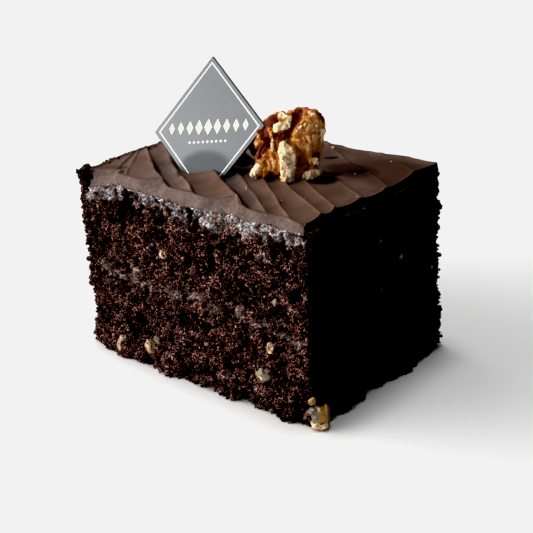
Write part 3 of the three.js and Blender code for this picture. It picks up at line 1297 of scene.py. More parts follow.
@dataclass(frozen=True)
class Frosting:
    """The frosting on top: a combed surface, a cut band round its side and a hidden underside.

    Attributes:
        band_rows: Number of cells from the cut band's foot to its lip.
        top_rows: Number of cells from the lip to the middle of the top.
        under_insets: Distances in from the side of the rings that close the underside.
        overlap: How far the underside is sunk below the crumb's top, in millimetres.
    """

    side: CutSide
    comb: Comb = field(default_factory=Comb)
    columns: int = 900
    band_rows: int = 16
    top_rows: int = 84
    lip_height: float = 0.3
    swells: tuple[Swell, ...] = (Swell(-35, 3.2), Swell(-13, 2.8), Swell(15.5, 3.4), Swell(37, 1.3))
    # The marks paint shade: the walnut's and the plaque's cast shadows, dark pits, slits and troughs, and
    # darker far right and left patches of the top.
    marks: tuple[Mark, ...] = (
        Mark(24.4, 2.2, (6.0, 4.6), 20, -0.2, 1.0),
        Mark(23.2, 8.6, (5.0, 3.6), 40, -0.1, 0.9),
        Mark(37.0, 17.0, (22.0, 13.0), 0, 0.0, 0.4),
        Mark(27.0, 13.4, (12.0, 6.6), -5, -0.1, 0.72),
        Mark(28.8, 13.2, (4.8, 2.4), 15, -0.5, 1.0),
        Mark(13.2, 20.4, (2.6, 1.2), 35, -0.6, 1.0),
        Mark(-4.0, 1.4, (4.6, 3.4), 30, -0.8, 0.9),
        Mark(-2.9, -6.0, (5.8, 4.6), 42, -0.9, 1.0),
        Mark(9.9, -20.1, (12.5, 1.3), -32, -0.2, 0.95),
        Mark(-13.0, -19.0, (3.6, 1.6), -35, -0.2, 0.5),
        Mark(-36.0, -23.4, (5.0, 2.4), 20, -0.4, 0.3),
        Mark(-7.0, 2.0, (3.2, 2.6), 60, 2.2, 0.3),
    )
    under_insets: tuple[float, ...] = (HALF_DEPTH, 10.0, 3.0, 1.0)
    overlap: float = 0.8

    @staticmethod
    def level(point: Vector) -> float:
        """Height of the frosting's top before the comb went over it.

        Args:
            point: A point of the top, of which x and y count.

        Returns:
            The height, in millimetres.
        """
        level = FROSTING_TOP - 0.9 * ramp(-point.x, 33, 45)
        far = ramp(point.y, 0, 26)
        level += 1.0 * ramp(point.x, 18, 38) * far - 0.7 * ramp(point.x, 40.5, 45) * (1 - far)
        return level + 0.3 * wobble(flattened(point), 11, 0.7)

    def top(self, point: Vector) -> tuple[float, float]:
        """Finds the frosting's top at a point, before the edge rounds it off.

        Args:
            point: The point, of which x and y count.

        Returns:
            Its height, in millimetres, and how much painted shade it has.
        """
        kept = 1 - 0.8 * ramp(-point.y, HALF_DEPTH - 4.6, HALF_DEPTH - 2.2)
        lift, shade = self.comb.lift(point)
        lift, shade = lift * kept, shade * kept
        for mark in self.marks:
            share = mark.share(point)
            lift += mark.lift * share
            shade = max(shade, mark.shade * share)
        return self.level(point) + lift, shade

    def crease(self, point: Vector, outward: Vector) -> float:
        """How far in from the side the combed top ends.

        Args:
            point: A point of the block's outline.
            outward: The outline's outward direction there.

        Returns:
            The distance, in millimetres.
        """
        flat = flattened(point)
        uneven = 0.6 * wobble(flat, 9, 5.5) + 0.4 * wobble(flat, 3.2, 1.5)
        if outward.y < -0.5:
            swollen = max(swell.reach * swell.share(point.x) for swell in self.swells)
            return 1.5 + 0.4 * uneven + swollen
        if outward.x > 0.5:
            _, gone, left, _ = self.comb.place(flat)
            scallop = ((gone - left) / (gone + left)) ** 2
            return mixed(2.4, 0.1, ramp(point.y, -26, 20)) + 0.8 * scallop + 0.2 * uneven
        return 1.3 + 1.0 * uneven

    def _underside(self, flat: Vector, outward: Vector, inset: float) -> tuple[Vector, float, float]:
        """Finds a point of the hidden underside.

        Args:
            flat: The point of the block's outline that it is in from.
            outward: The outline's outward direction there.
            inset: How far in it is, in millimetres.

        Returns:
            The point, how cut it is and how much painted shade it has, as for the other two parts.
        """
        point = (flat - outward).lerp(self.side.outline.spine(flat), inset / HALF_DEPTH)
        return flattened(point, frosting_floor(flat) - self.overlap), 1.0, 0.0

    def _band(self, flat: Vector, outward: Vector, up: float) -> tuple[Vector, float, float]:
        """Finds a point of the cut band.

        Args:
            flat: The point of the block's outline that it is above.
            outward: The outline's outward direction there.
            up: How far up the band it is, from 0 to 1.

        Returns:
            The point, how cut it is and how much painted shade it has: the +X side of the band is painted as
            in shade.
        """
        inner = flat.lerp(self.side.outline.spine(flat), self.crease(flat, outward) / HALF_DEPTH)
        lip = mixed(self.level(inner), self.top(inner)[0], 0.35) + self.lip_height
        z = mixed(frosting_floor(flat) - self.overlap, lip, up)
        bulge = 1 - up**1.7
        point = inner.lerp(flat, bulge)
        here = flattened(point, z)
        dragged = Vector((here.x / 7, here.y / 7, here.z / 1.3))
        stand = 0.55 + 0.35 * wobble(here, 6, 7.1) + 0.22 * wobble(dragged, 1, 2.6)
        stand += 0.3 * wobble(here, 1.3, 8.6) * ramp(up, 0.5, 0.2)
        stand -= 1.6 * ramp(up, 0.16, 0.0)
        below_lip = ramp(up, 1.0, 0.93)
        cut = 1.0 if outward.y < -0.7 else 0.5
        moved = flattened(point + outward * stand * bulge, z)
        # Painted shade on the +X side of the band.
        return moved, cut * below_lip, facing_right(outward) * below_lip

    def _crown(self, flat: Vector, outward: Vector, inward: float) -> tuple[Vector, float, float]:
        """Finds a point of the combed top.

        Args:
            flat: The point of the block's outline that it is in from.
            outward: The outline's outward direction there.
            inward: How far in from the lip it is: 1 on the middle line.

        Returns:
            The point, how cut it is and how much painted shade it has.
        """
        spine = self.side.outline.spine(flat)
        inner = flat.lerp(spine, self.crease(flat, outward) / HALF_DEPTH)
        share_in = inward * (0.55 + 0.45 * inward)
        point = inner.lerp(spine, share_in)
        point.z, shade = self.top(point)
        behind = share_in * HALF_DEPTH
        point.z += self.lip_height * (1 - ramp(behind, 0, 0.9)) - 0.2 * ramp(behind, 0.3, 1.1)
        return point, 0.0, shade

    def build(self, plan: SlicePlan) -> Object:
        """Models the frosting as a shell and dresses it.

        Args:
            plan: Places and dresses it.

        Returns:
            The piece's object.
        """
        under = len(self.under_insets)
        count = under + self.band_rows + self.top_rows
        bm = wrapped(self.columns, count)
        cut_layer, shade_layer = carry(bm, Attribute.CUT), carry(bm, Attribute.SHADE)
        for vert in bm.verts:
            row = round((vert.co.y + 0.5) * count) - under
            flat, outward = self.side.outline.at(vert.co.x + 0.5)
            if row < 0:
                found = self._underside(flat, outward, self.under_insets[row + under])
            elif row <= self.band_rows:
                found = self._band(flat, outward, row / self.band_rows)
            else:
                found = self._crown(flat, outward, (row - self.band_rows) / self.top_rows)
            vert.co, vert[cut_layer], vert[shade_layer] = found
        closed(bm)
        nodes = ["frosting"]
        return plan.finish(bm, "combed_frosting", nodes, [plan.finishes.frosting])


# ---------- plaque


@dataclass(frozen=True)
class Plaque:
    """The diamond plaque that stands on a corner in the frosting.

    Attributes:
        turn: How it is turned about the Z axis, in degrees.
        lean: How far it leans back.
        roll: How far it is rolled in its own plane.
        line_inset: Distance of the printed border from the edge, in millimetres.
        beside: How many lozenges or dots a row has on each side of its middle one.
        lozenge_up: How far the row of lozenges is above the plaque's middle.
        lozenge_shrink: How much less of its size each lozenge has than the one before it.
        dot_up: How far the row of dots is above the plaque's middle.
    """

    width: float = 39.6
    height: float = 44.6
    thickness: float = 1.0
    bevel: float = 0.22
    middle: Vector = vector(*PLAQUE_MIDDLE)
    turn: float = 8.0
    lean: float = 26.5
    roll: float = 10.2
    line_inset: float = 1.5
    line_width: float = 0.5
    print_height: float = 0.05
    beside: int = 4
    lozenge_size: tuple[float, float] = (2.7, 4.9)
    lozenge_pitch: float = 3.3
    lozenge_up: float = 0.6
    lozenge_shrink: float = 0.07
    dot_size: tuple[float, float] = (0.95, 0.95)
    dot_pitch: float = 1.6
    dot_up: float = -3.9

    def _place(self) -> Matrix:
        """Turns the plaque's own space, which faces -Y, to where it stands.

        Returns:
            The move.
        """
        turn = Matrix.Rotation(math.radians(self.turn), 4, "Z")
        lean = Matrix.Rotation(math.radians(-self.lean), 4, "X")
        roll = Matrix.Rotation(math.radians(-self.roll), 4, "Y")
        return Matrix.Translation(self.middle) @ turn @ lean @ roll

    def build(self, plan: SlicePlan) -> Object:
        """Models the plaque with its print and dresses it.

        Args:
            plan: Places and dresses it.

        Returns:
            The piece's object.
        """
        bm = bmesh.new()
        back = Matrix.Translation((0, self.thickness / 2, 0))
        self._slab(bm, (self.width, self.height), back, -self.thickness)
        bmesh.ops.bevel(
            bm, geom=bm.edges, offset=self.bevel, segments=3, profile=0.5, affect="EDGES", material=-1
        )
        front = max((face for face in bm.faces if self._is_front(face)), key=lambda f: f.calc_area())
        bmesh.ops.inset_region(bm, faces=[front], thickness=self.line_inset, depth=0)
        border = bmesh.ops.inset_region(bm, faces=[front], thickness=self.line_width, depth=0)
        for face in filter(self._is_front, bm.faces):
            face.material_index = PlaqueCoat.FACE
        for face in border["faces"]:
            face.material_index = PlaqueCoat.WHITE
        across_layer, up_layer = carry(bm, Attribute.ACROSS), carry(bm, Attribute.UP)
        for vert in bm.verts:
            vert[across_layer], vert[up_layer] = vert.co.x, vert.co.z
        self._ornament(bm)
        bmesh.ops.transform(bm, matrix=self._place(), verts=bm.verts)
        finishes = plan.finishes
        coats = {
            PlaqueCoat.CHOCOLATE: finishes.chocolate,
            PlaqueCoat.FACE: finishes.plaque,
            PlaqueCoat.GILT: finishes.gilt,
            PlaqueCoat.WHITE: finishes.white,
        }
        materials = [coats[coat] for coat in PlaqueCoat]
        return plan.finish(bm, "diamond_plaque", ["plaque"], materials, False)

    @staticmethod
    def _is_front(face: BMFace) -> bool:
        """Whether a face is a flat part of the plaque's front."""
        return face.normal.y < -0.99

    @staticmethod
    def _slab(bm: BMesh, size: tuple[float, float], place: Matrix, depth: float) -> list[BMFace]:
        """Adds a flat lozenge.

        Args:
            bm: The mesh to add it to.
            size: Its width and height.
            place: Where its first side goes.
            depth: Distance along Y from its first side to the other.

        Returns:
            Its faces.
        """
        known = set(bm.faces)
        upright = Matrix.Diagonal((size[0] / 2, 1, size[1] / 2, 1)) @ Matrix.Rotation(math.pi / 2, 4, "X")
        bmesh.ops.create_circle(bm, cap_ends=True, segments=4, radius=1, matrix=place @ upright)
        made = [face for face in bm.faces if face not in known]
        solid = bmesh.ops.extrude_face_region(bm, geom=made)
        moved = [item for item in solid["geom"] if isinstance(item, BMVert)]
        bmesh.ops.translate(bm, verts=moved, vec=(0, depth, 0))
        added = [face for face in bm.faces if face not in known]
        bmesh.ops.recalc_face_normals(bm, faces=added)
        return added

    def _mark(
        self, bm: BMesh, x: float, z: float, size: tuple[float, float], coat: PlaqueCoat
    ) -> None:
        """Prints a small lozenge.

        Args:
            bm: The mesh to add it to.
            x: Its middle, sideways.
            z: Its middle, upward.
            size: Its width and height.
            coat: Its material.
        """
        place = Matrix.Translation((x, -self.thickness / 2 - self.print_height, z))
        for face in self._slab(bm, size, place, 2 * self.print_height):
            face.material_index = coat

    def _ornament(self, bm: BMesh) -> None:
        """Prints a row of lozenges that shrink outward, and a row of dots below it.

        Args:
            bm: The mesh to add them to.
        """
        places = range(-self.beside, self.beside + 1)
        for place in places:
            share = 1 - self.lozenge_shrink * abs(place)
            size = (self.lozenge_size[0] * share, self.lozenge_size[1] * share)
            self._mark(bm, self.lozenge_pitch * place, self.lozenge_up, size, PlaqueCoat.GILT)
        for place in places:
            self._mark(bm, self.dot_pitch * place, self.dot_up, self.dot_size, PlaqueCoat.WHITE)


# ---------- walnut


@dataclass(frozen=True)
class Strand:
    """A rounded fold of nut that follows a bent line.

    Attributes:
        points: The line, as (right, front, up) in the walnut's own millimetres.
        radii: Radius at its start and at its end.
    """

    points: tuple[tuple[float, float, float], ...]
    radii: tuple[float, float]

    def samples(self, step: float) -> list[tuple[Vector, float]]:
        """Walks the line.

        Args:
            step: Greatest distance between two samples, in millimetres.

        Returns:
            Middles and radii of the balls that the fold is made of.
        """
        line = [Vector(point) for point in self.points]
        if len(line) == 1:
            return [(line[0], self.radii[0])]
        found = []
        for place, (start, end) in enumerate(zip(line, line[1:])):
            count = max(1, math.ceil((end - start).length / step))
            for part in range(count + (place == len(line) - 2)):
                done = (place + part / count) / (len(line) - 1)
                found.append((start.lerp(end, part / count), mixed(*self.radii, done)))
        return found


@dataclass(frozen=True)
class Daub(Strand):
    """A strand-shaped part of the walnut with a colour of its own.

    Attributes:
        strength: How strong the colour is on its line.
        step: Greatest distance between two of its samples, in millimetres.
    """

    strength: float
    step: float = 0.7

    @cached_property
    def balls(self) -> list[tuple[Vector, float]]:
        """Middles and radii of the balls that it is made of."""
        return self.samples(self.step)

    def share(self, point: Vector) -> float:
        """How much of its colour a point has: most on its line, and none from its radius on.

        Args:
            point: The point, in the walnut's own millimetres.

        Returns:
            The share, which may pass 1 where the daub is strong.
        """
        nearness = (1 - (point - middle).length / radius for middle, radius in self.balls)
        return self.strength * max(0.0, *nearness)


CORE_STRANDS = (
    Strand(((-3.0, -3.4, 3.6), (-0.4, -3.4, 10.0), (2.0, -3.6, 15.2)), (5.2, 4.8)),
    Strand(((4.6, -2.6, 4.0), (6.2, -2.3, 10.0), (6.0, -2.5, 15.6)), (4.2, 4.6)),
    Strand(((-7.0, -3.6, 4.0), (-6.4, -4.2, 11.0), (-3.6, -4.2, 15.6)), (3.4, 3.2)),
)
FOLD_STRANDS = (
    Strand(((-1.2, -0.4, 18.8), (0.5, 0.0, 18.0), (0.1, 0.6, 16.4), (-2.4, 0.8, 15.7)), (1.6, 1.8)),
    Strand(((-0.6, 2.6, 10.6), (-0.4, 3.2, 8.0), (0.0, 3.3, 5.0), (0.3, 3.5, 2.0)), (1.9, 2.5)),
    Strand(((1.3, 2.6, 8.4), (1.3, 2.8, 5.0)), (2.3, 2.3)),
    Strand(((-9.9, 1.0, 1.6), (-9.0, 1.0, 3.2), (-8.4, 0.6, 4.8)), (1.7, 1.2)),
    Strand(((-6.9, 0.4, 2.2), (-6.7, 0.2, 5.4), (-5.9, -0.2, 8.0)), (2.2, 1.8)),
    Strand(((-8.1, -0.8, 6.6), (-7.1, -0.8, 8.2)), (1.9, 1.8)),
    Strand(((-5.3, -1.0, 15.2), (-4.2, 0.3, 12.0), (-4.3, 1.2, 9.0), (-4.4, 2.0, 3.6)), (0.7, 1.1)),
    Strand(((-2.1, -0.4, 12.4), (-2.2, 0.8, 8.0), (-2.4, 1.4, 3.0)), (1.4, 1.8)),
    Strand(((-7.8, -3.4, 12.2), (-8.7, -3.0, 9.4)), (2.2, 2.0)),
    Strand(((-8.6, -6.0, 13.8), (-9.6, -6.4, 11.6), (-9.2, -5.0, 9.2)), (1.7, 1.7)),
    Strand(((-11.0, -7.4, 11.8), (-12.0, -7.4, 9.6), (-10.6, -5.6, 8.6)), (1.6, 1.6)),
    Strand(((-7.0, -5.8, 14.4), (-5.2, -4.8, 16.4), (-2.6, -3.8, 17.8)), (1.6, 1.5)),
    Strand(((-10.9, -5.6, 8.2), (-10.2, -5.0, 6.6)), (1.8, 1.6)),
    Strand(((2.9, 0.8, 13.6), (4.2, 0.6, 15.9), (6.0, 0.5, 16.6), (7.6, 0.4, 15.5)), (1.8, 1.8)),
    Strand(((5.9, -1.2, 18.8), (7.8, -1.2, 18.9), (9.1, -1.3, 17.2), (9.4, -1.0, 14.6)), (2.0, 1.9)),
    Strand(((2.3, 1.4, 10.4), (3.0, 1.6, 12.3), (4.8, 2.0, 11.7), (5.4, 1.4, 9.8)), (1.6, 1.6)),
    Strand(((7.0, 1.0, 13.4), (8.5, 0.4, 12.8), (9.1, -0.2, 10.8), (8.0, 0.4, 9.2)), (1.8, 1.6)),
    Strand(((5.0, 1.2, 14.0), (6.6, 1.6, 12.2)), (1.5, 1.6)),
    Strand(((4.2, 1.0, 8.4), (6.2, 1.2, 8.0), (7.6, 0.8, 7.4)), (1.6, 1.6)),
    Strand(((5.2, 1.8, 10.8), (6.2, 2.0, 9.8)), (1.5, 1.5)),
    Strand(((8.0, 1.6, 6.0),), (1.7, 1.7)),
    Strand(((3.0, 1.2, 8.0), (3.5, 1.5, 4.6)), (1.6, 1.5)),
    Strand(((5.6, 1.8, 1.8), (7.0, 1.9, 2.2), (8.2, 1.3, 2.4)), (1.9, 1.8)),
    Strand(((3.0, 1.6, 2.0), (3.6, 1.0, 5.2)), (1.8, 1.5)),
    Strand(((1.0, -2.0, 18.6), (3.4, -2.4, 19.7), (5.2, -2.4, 19.8)), (1.3, 1.3)),
)
DAUBS = {
    # Tint daubs lighten knobs towards the tan, partly as painted highlight.
    Attribute.TINT: (
        Daub(((5.6, 3.2, 10.8), (6.2, 3.2, 9.8)), (2.2, 1.8), 1.5),
        Daub(((8.6, 1.8, 15.0), (9.4, 1.4, 13.6)), (2.2, 2.0), 0.9),
        Daub(((5.4, 2.6, 16.0), (8.2, 2.0, 17.4)), (3.6, 3.4), 1.0),
        Daub(((4.6, 4.0, 11.8), (7.4, 3.2, 12.6)), (3.0, 3.2), 1.1),
        Daub(((7.2, 0.6, 20.0),), (2.4, 2.4), 0.9),
        Daub(((-4.6, 2.8, 9.0), (-4.6, 3.6, 4.0)), (2.2, 2.6), 1.0),
        Daub(((-8.8, -2.4, 12.2),), (2.2, 2.2), 0.7),
    ),
    Attribute.BARE: (
        Daub(((-1.4, 0.6, 19.6), (0.8, 0.8, 19.0), (0.3, 1.6, 17.0)), (2.0, 1.7), 0.9),
        Daub(((0.3, 1.6, 17.0), (-3.0, 1.8, 15.9)), (1.6, 1.9), 1.6),
        Daub(((-0.2, 4.6, 10.8), (0.2, 5.6, 7.6)), (2.6, 3.9), 2.2),
        Daub(((0.4, 6.0, 7.4), (0.5, 6.0, 4.4), (0.4, 5.6, 0.8)), (3.8, 3.2), 2.4),
        Daub(((-10.4, 2.0, 1.6), (-9.3, 2.2, 4.2)), (2.3, 1.6), 2.4),
        Daub(((5.7, 3.6, 1.8), (8.6, 3.0, 2.7)), (2.2, 2.2), 1.4),
        Daub(((8.4, 3.1, 6.3),), (1.7, 1.7), 1.8),
        Daub(((10.6, 0.4, 14.6), (10.8, 0.6, 12.4)), (1.6, 1.8), 1.0),
        Daub(((-5.3, 0.2, 15.2), (-4.2, 1.5, 11.9), (-4.4, 2.6, 8.6)), (0.8, 0.9), 1.3),
        Daub(((-4.4, 2.6, 8.6), (-4.5, 3.4, 3.8)), (1.0, 1.3), 1.0),
        Daub(((6.6, 0.6, 20.2), (8.0, 0.6, 19.6)), (1.6, 1.5), 0.7),
        Daub(((5.1, 4.0, 12.2),), (1.5, 1.5), 0.8),
        Daub(((3.0, 2.4, 15.2), (6.0, 2.2, 18.2), (9.0, 1.0, 16.6)), (0.9, 1.1), 0.7),
    ),
    # Dark skin, partly real skin and partly painted shade: the deep middle channel, and the left side where
    # the plaque casts its shadow.
    Attribute.SKIN: (
        Daub(((3.2, -0.6, 20.2), (2.2, 0.2, 16.4), (0.6, 0.6, 14.0)), (2.1, 2.0), 2.2),
        Daub(((0.6, 0.6, 14.0), (-1.6, 0.8, 12.8), (-3.0, 0.6, 13.2)), (2.0, 1.7), 2.0),
        Daub(((-8.4, -2.8, 14.6), (-5.6, -2.2, 16.4), (-3.2, -1.6, 18.0)), (2.4, 2.3), 2.2),
        Daub(((-12.4, -4.2, 9.4), (-8.6, -2.6, 9.2)), (2.4, 2.0), 2.0),
        Daub(((8.2, 2.2, 7.8), (9.6, 1.2, 7.4)), (1.4, 1.5), 1.8),
        Daub(((4.4, 4.0, 4.4), (4.2, 3.8, 1.8)), (1.4, 1.3), 0.6),
        Daub(((-7.6, 0.4, 9.4), (-6.2, 0.4, 8.2)), (1.7, 1.4), 1.8),
        Daub(((-11.0, -4.0, 7.6), (-9.4, -3.4, 6.2)), (2.4, 2.0), 2.2),
        Daub(((-2.6, 1.6, 12.4), (-2.8, 2.2, 9.2)), (1.4, 1.2), 1.3),
        Daub(((-8.0, -1.0, 8.6), (-5.9, -0.4, 9.6), (-6.2, -1.4, 13.0)), (2.1, 1.6), 2.0),
        Daub(((-8.6, 0.6, 7.2),), (1.6, 1.6), 1.4),
        Daub(((3.8, 3.0, 7.0), (3.6, 3.0, 5.2)), (1.5, 1.3), 0.9),
        Daub(((-9.2, -2.4, 15.6), (-7.6, -1.6, 14.4), (-7.0, -1.4, 12.2)), (1.8, 1.5), 2.0),
        Daub(((9.6, -0.4, 20.2), (10.8, -0.6, 17.6)), (1.6, 1.4), 1.6),
        Daub(((-3.2, 2.4, 1.4), (-1.8, 2.6, 2.6)), (1.5, 1.3), 1.5),
        Daub(((8.4, 1.6, 8.0), (9.6, 1.0, 5.4)), (1.2, 1.2), 1.3),
    ),
}


def daubed(attribute: Attribute, point: Vector) -> float:
    """How much of one of the daubed colours a point of the walnut has, from 0 to 1."""
    return min(1.0, max(daub.share(point) for daub in DAUBS[attribute]))


@dataclass(frozen=True)
class Walnut:
    """The candied walnut half, turned about its foot."""

    foot: Vector = vector(15.2, -2.6, 59.6)
    turn: float = 33.0
    voxel: float = 0.34
    ball_step: float = 0.8
    smoothings: int = 2

    def _place(self) -> Matrix:
        """Turns (right, front, up) into the slice's space.

        Returns:
            The move.
        """
        angle = math.radians(self.turn)
        right = Vector((math.cos(angle), math.sin(angle), 0))
        front = Vector((math.sin(angle), -math.cos(angle), 0))
        axes = Matrix((right, front, Vector((0, 0, 1)))).transposed().to_4x4()
        return Matrix.Translation(self.foot) @ axes

    def _fused(self) -> BMesh:
        """Melts every strand into one closed skin and smooths it.

        Returns:
            The skin, in the walnut's own space.
        """
        bm = bmesh.new()
        for strand in (*CORE_STRANDS, *FOLD_STRANDS):
            for middle, radius in strand.samples(self.ball_step):
                place = Matrix.Translation(middle)
                bmesh.ops.create_icosphere(bm, subdivisions=2, radius=radius, matrix=place)
        bm = remeshed(bm, self.voxel)
        axes = {"use_axis_x": True, "use_axis_y": True, "use_axis_z": True}
        for _ in range(self.smoothings):
            bmesh.ops.smooth_vert(bm, verts=bm.verts, factor=0.5, **axes)
        bm.normal_update()
        return bm

    def build(self, plan: SlicePlan) -> Object:
        """Models the walnut and dresses it.

        Args:
            plan: Places and dresses it.

        Returns:
            The piece's object.
        """
        bm = self._fused()
        tint, bare = carry(bm, Attribute.TINT), carry(bm, Attribute.BARE)
        skin = carry(bm, Attribute.SKIN)
        for vert in bm.verts:
            raised = self._wrinkle(vert.co)
            vert.co += vert.normal * raised
            # Painted light: raised wrinkles and tint daubs lean to the tan highlight, furrows to darker
            # amber.
            vert[tint] = 0.5 + raised + 0.6 * daubed(Attribute.TINT, vert.co)
            vert[bare] = daubed(Attribute.BARE, vert.co)
            vert.co += vert.normal * vert[bare] * self._chipped(vert.co)
            vert[skin] = daubed(Attribute.SKIN, vert.co)
        bmesh.ops.transform(bm, matrix=self._place(), verts=bm.verts)
        bmesh.ops.recalc_face_normals(bm, faces=bm.faces)
        return plan.finish(bm, "candied_walnut", ["walnut"], [plan.finishes.walnut])

    @staticmethod
    def _chipped(point: Vector) -> float:
        """How far broken flesh stands out of the skin.

        Args:
            point: The point, in the walnut's own millimetres.

        Returns:
            The distance, in millimetres.
        """
        near = noise.voronoi(point / 2.3 + Vector((3, 5, 8)))[0]
        small = noise.voronoi(point / 1.0 + Vector((7, 1, 4)))[0]
        return 0.5 - 1.0 * near[0] - 0.35 * small[0]

    @staticmethod
    def _wrinkle(point: Vector) -> float:
        """How far the wrinkled skin stands out of the fused strands.

        Args:
            point: The point, in the walnut's own millimetres.

        Returns:
            The distance, in millimetres.
        """
        bent = point + noise.noise_vector(point / 3) * 1.2
        furrow = ramp(abs(noise.noise(bent / 2.6 + Vector((4, 1, 6)))), 0.14, 0.0)
        return 0.35 * noise.noise(bent / 1.5) + 0.12 * noise.noise(bent / 0.6) - 0.4 * furrow


def remeshed(bm: BMesh, voxel: float) -> BMesh:
    """Melts overlapping closed shapes into one.

    Args:
        bm: The shapes, which are freed.
        voxel: Size of the new mesh's cells.

    Returns:
        The fused mesh.
    """
    mesh = bpy.data.meshes.new("fusing")
    bm.to_mesh(mesh)
    bm.free()
    helper = bpy.data.objects.new("fusing", mesh)
    bpy.context.scene.collection.objects.link(helper)
    modifier = helper.modifiers.new("fuse", "REMESH")
    modifier.mode = "VOXEL"
    modifier.voxel_size = voxel
    fused = bmesh.new()
    fused.from_object(helper, bpy.context.evaluated_depsgraph_get())
    bpy.data.objects.remove(helper)
    bpy.data.meshes.remove(mesh)
    return fused


# ---------- nuts and crumbs


@dataclass(frozen=True)
class Flesh:
    """What cut nut is like.

    Attributes:
        tint: 0 for cream, 1 for grey.
        skin: 0 for bare flesh, 1 for brown skin.
        bare: 1 for a pale fresh break.
        yellow: 1 for deep yellow.
    """

    tint: float = 0.3
    skin: float = 0.1
    bare: float = 0.0
    yellow: float = 0.0


class FleshLayers:
    """The numbers that a mesh of nut carries to its finish."""

    def __init__(self, bm: BMesh) -> None:
        """Adds them to a mesh.

        Args:
            bm: The mesh.
        """
        self.tint = carry(bm, Attribute.TINT)
        self.skin = carry(bm, Attribute.SKIN)
        self.bare = carry(bm, Attribute.BARE)
        self.yellow = carry(bm, Attribute.YELLOW)

    def give(self, vert: BMVert, flesh: Flesh, uneven: float) -> None:
        """Gives a vertex its numbers.

        Args:
            vert: The vertex.
            flesh: What the nut is like there.
            uneven: Added to how much skin and how little pale flesh it has.
        """
        vert[self.tint] = flesh.tint
        vert[self.yellow] = flesh.yellow
        vert[self.skin] = limited(flesh.skin + uneven)
        vert[self.bare] = limited(flesh.bare - uneven)


@dataclass(frozen=True)
class NutBit:
    """A piece of nut in a cut face, in millimetres.

    Attributes:
        x: Its middle along the face.
        z: Its middle's height.
        turn: How it is turned in the face, in degrees.
        stand: How far it stands out of the face.
    """

    x: float
    z: float
    width: float
    height: float
    flesh: Flesh = Flesh()
    turn: float = 0.0
    stand: float = 0.0
    face: CutFace = CutFace.FRONT


NUT_BITS = (
    NutBit(-10.0, 39.3, 3.4, 3.2, Flesh(0.1, 0.25, 0.5), 20, 0.4),
    NutBit(-31.0, 3.6, 3.8, 6.4, Flesh(0.2, 0.35, 0.2, 0.05), 18, 0.3),
    NutBit(-17.7, 6.5, 3.8, 5.4, Flesh(0.05, 0.4, 0.3, 0.05), -12, 0.6),
    NutBit(-15.4, 9.2, 3.6, 2.2, Flesh(0.9, 0.1), 35),
    NutBit(29.0, 11.5, 6.0, 4.6, Flesh(0.85, 0.1, 0.1), -20, 0.5),
    NutBit(31.3, 20.5, 2.6, 4.4, Flesh(0.1, 0.35, 0.4, 0.0), 15, 0.5),
    NutBit(-22.5, 31.0, 4.2, 1.8, Flesh(0.5, 0.5), -10),
    NutBit(-35.0, 26.0, 1.6, 2.0, Flesh(0.3, 0.3)),
    NutBit(-29.0, 17.5, 2.0, 3.0, Flesh(0.9, 0.2), 12),
    NutBit(-0.7, 31.5, 1.6, 3.0, Flesh(0.35, 0.35, 0.3), 12),
    NutBit(-37.5, 49.5, 2.0, 4.4, Flesh(0.5, 0.4, 0.3), 28),
    NutBit(-28.7, 9.0, 1.0, 1.0, Flesh(0.1, 0.0, 0.5)),
    NutBit(5.5, 14.0, 1.6, 1.2, Flesh(0.3, 0.3)),
    NutBit(0.5, 50.5, 2.0, 2.0, Flesh(0.6, 0.5)),
    NutBit(-8.0, 52.5, 2.2, 1.8, Flesh(0.7, 0.5)),
    NutBit(13.5, 55.0, 1.4, 2.6, Flesh(0.4, 0.5), 10),
    NutBit(33.5, 35.0, 2.0, 2.4, Flesh(0.7, 0.5)),
    NutBit(1.2, 45.7, 0.8, 1.2, Flesh(0.3, 0.6), 0, face=CutFace.RIGHT),
    NutBit(11.0, 37.7, 2.2, 1.8, Flesh(0.2, 0.6), 30, face=CutFace.RIGHT),
    NutBit(1.6, 30.6, 0.8, 0.8, Flesh(0.2, 0.6), 0, face=CutFace.RIGHT),
    NutBit(27.2, 28.6, 1.0, 1.2, Flesh(0.3, 0.6), 0, face=CutFace.RIGHT),
)


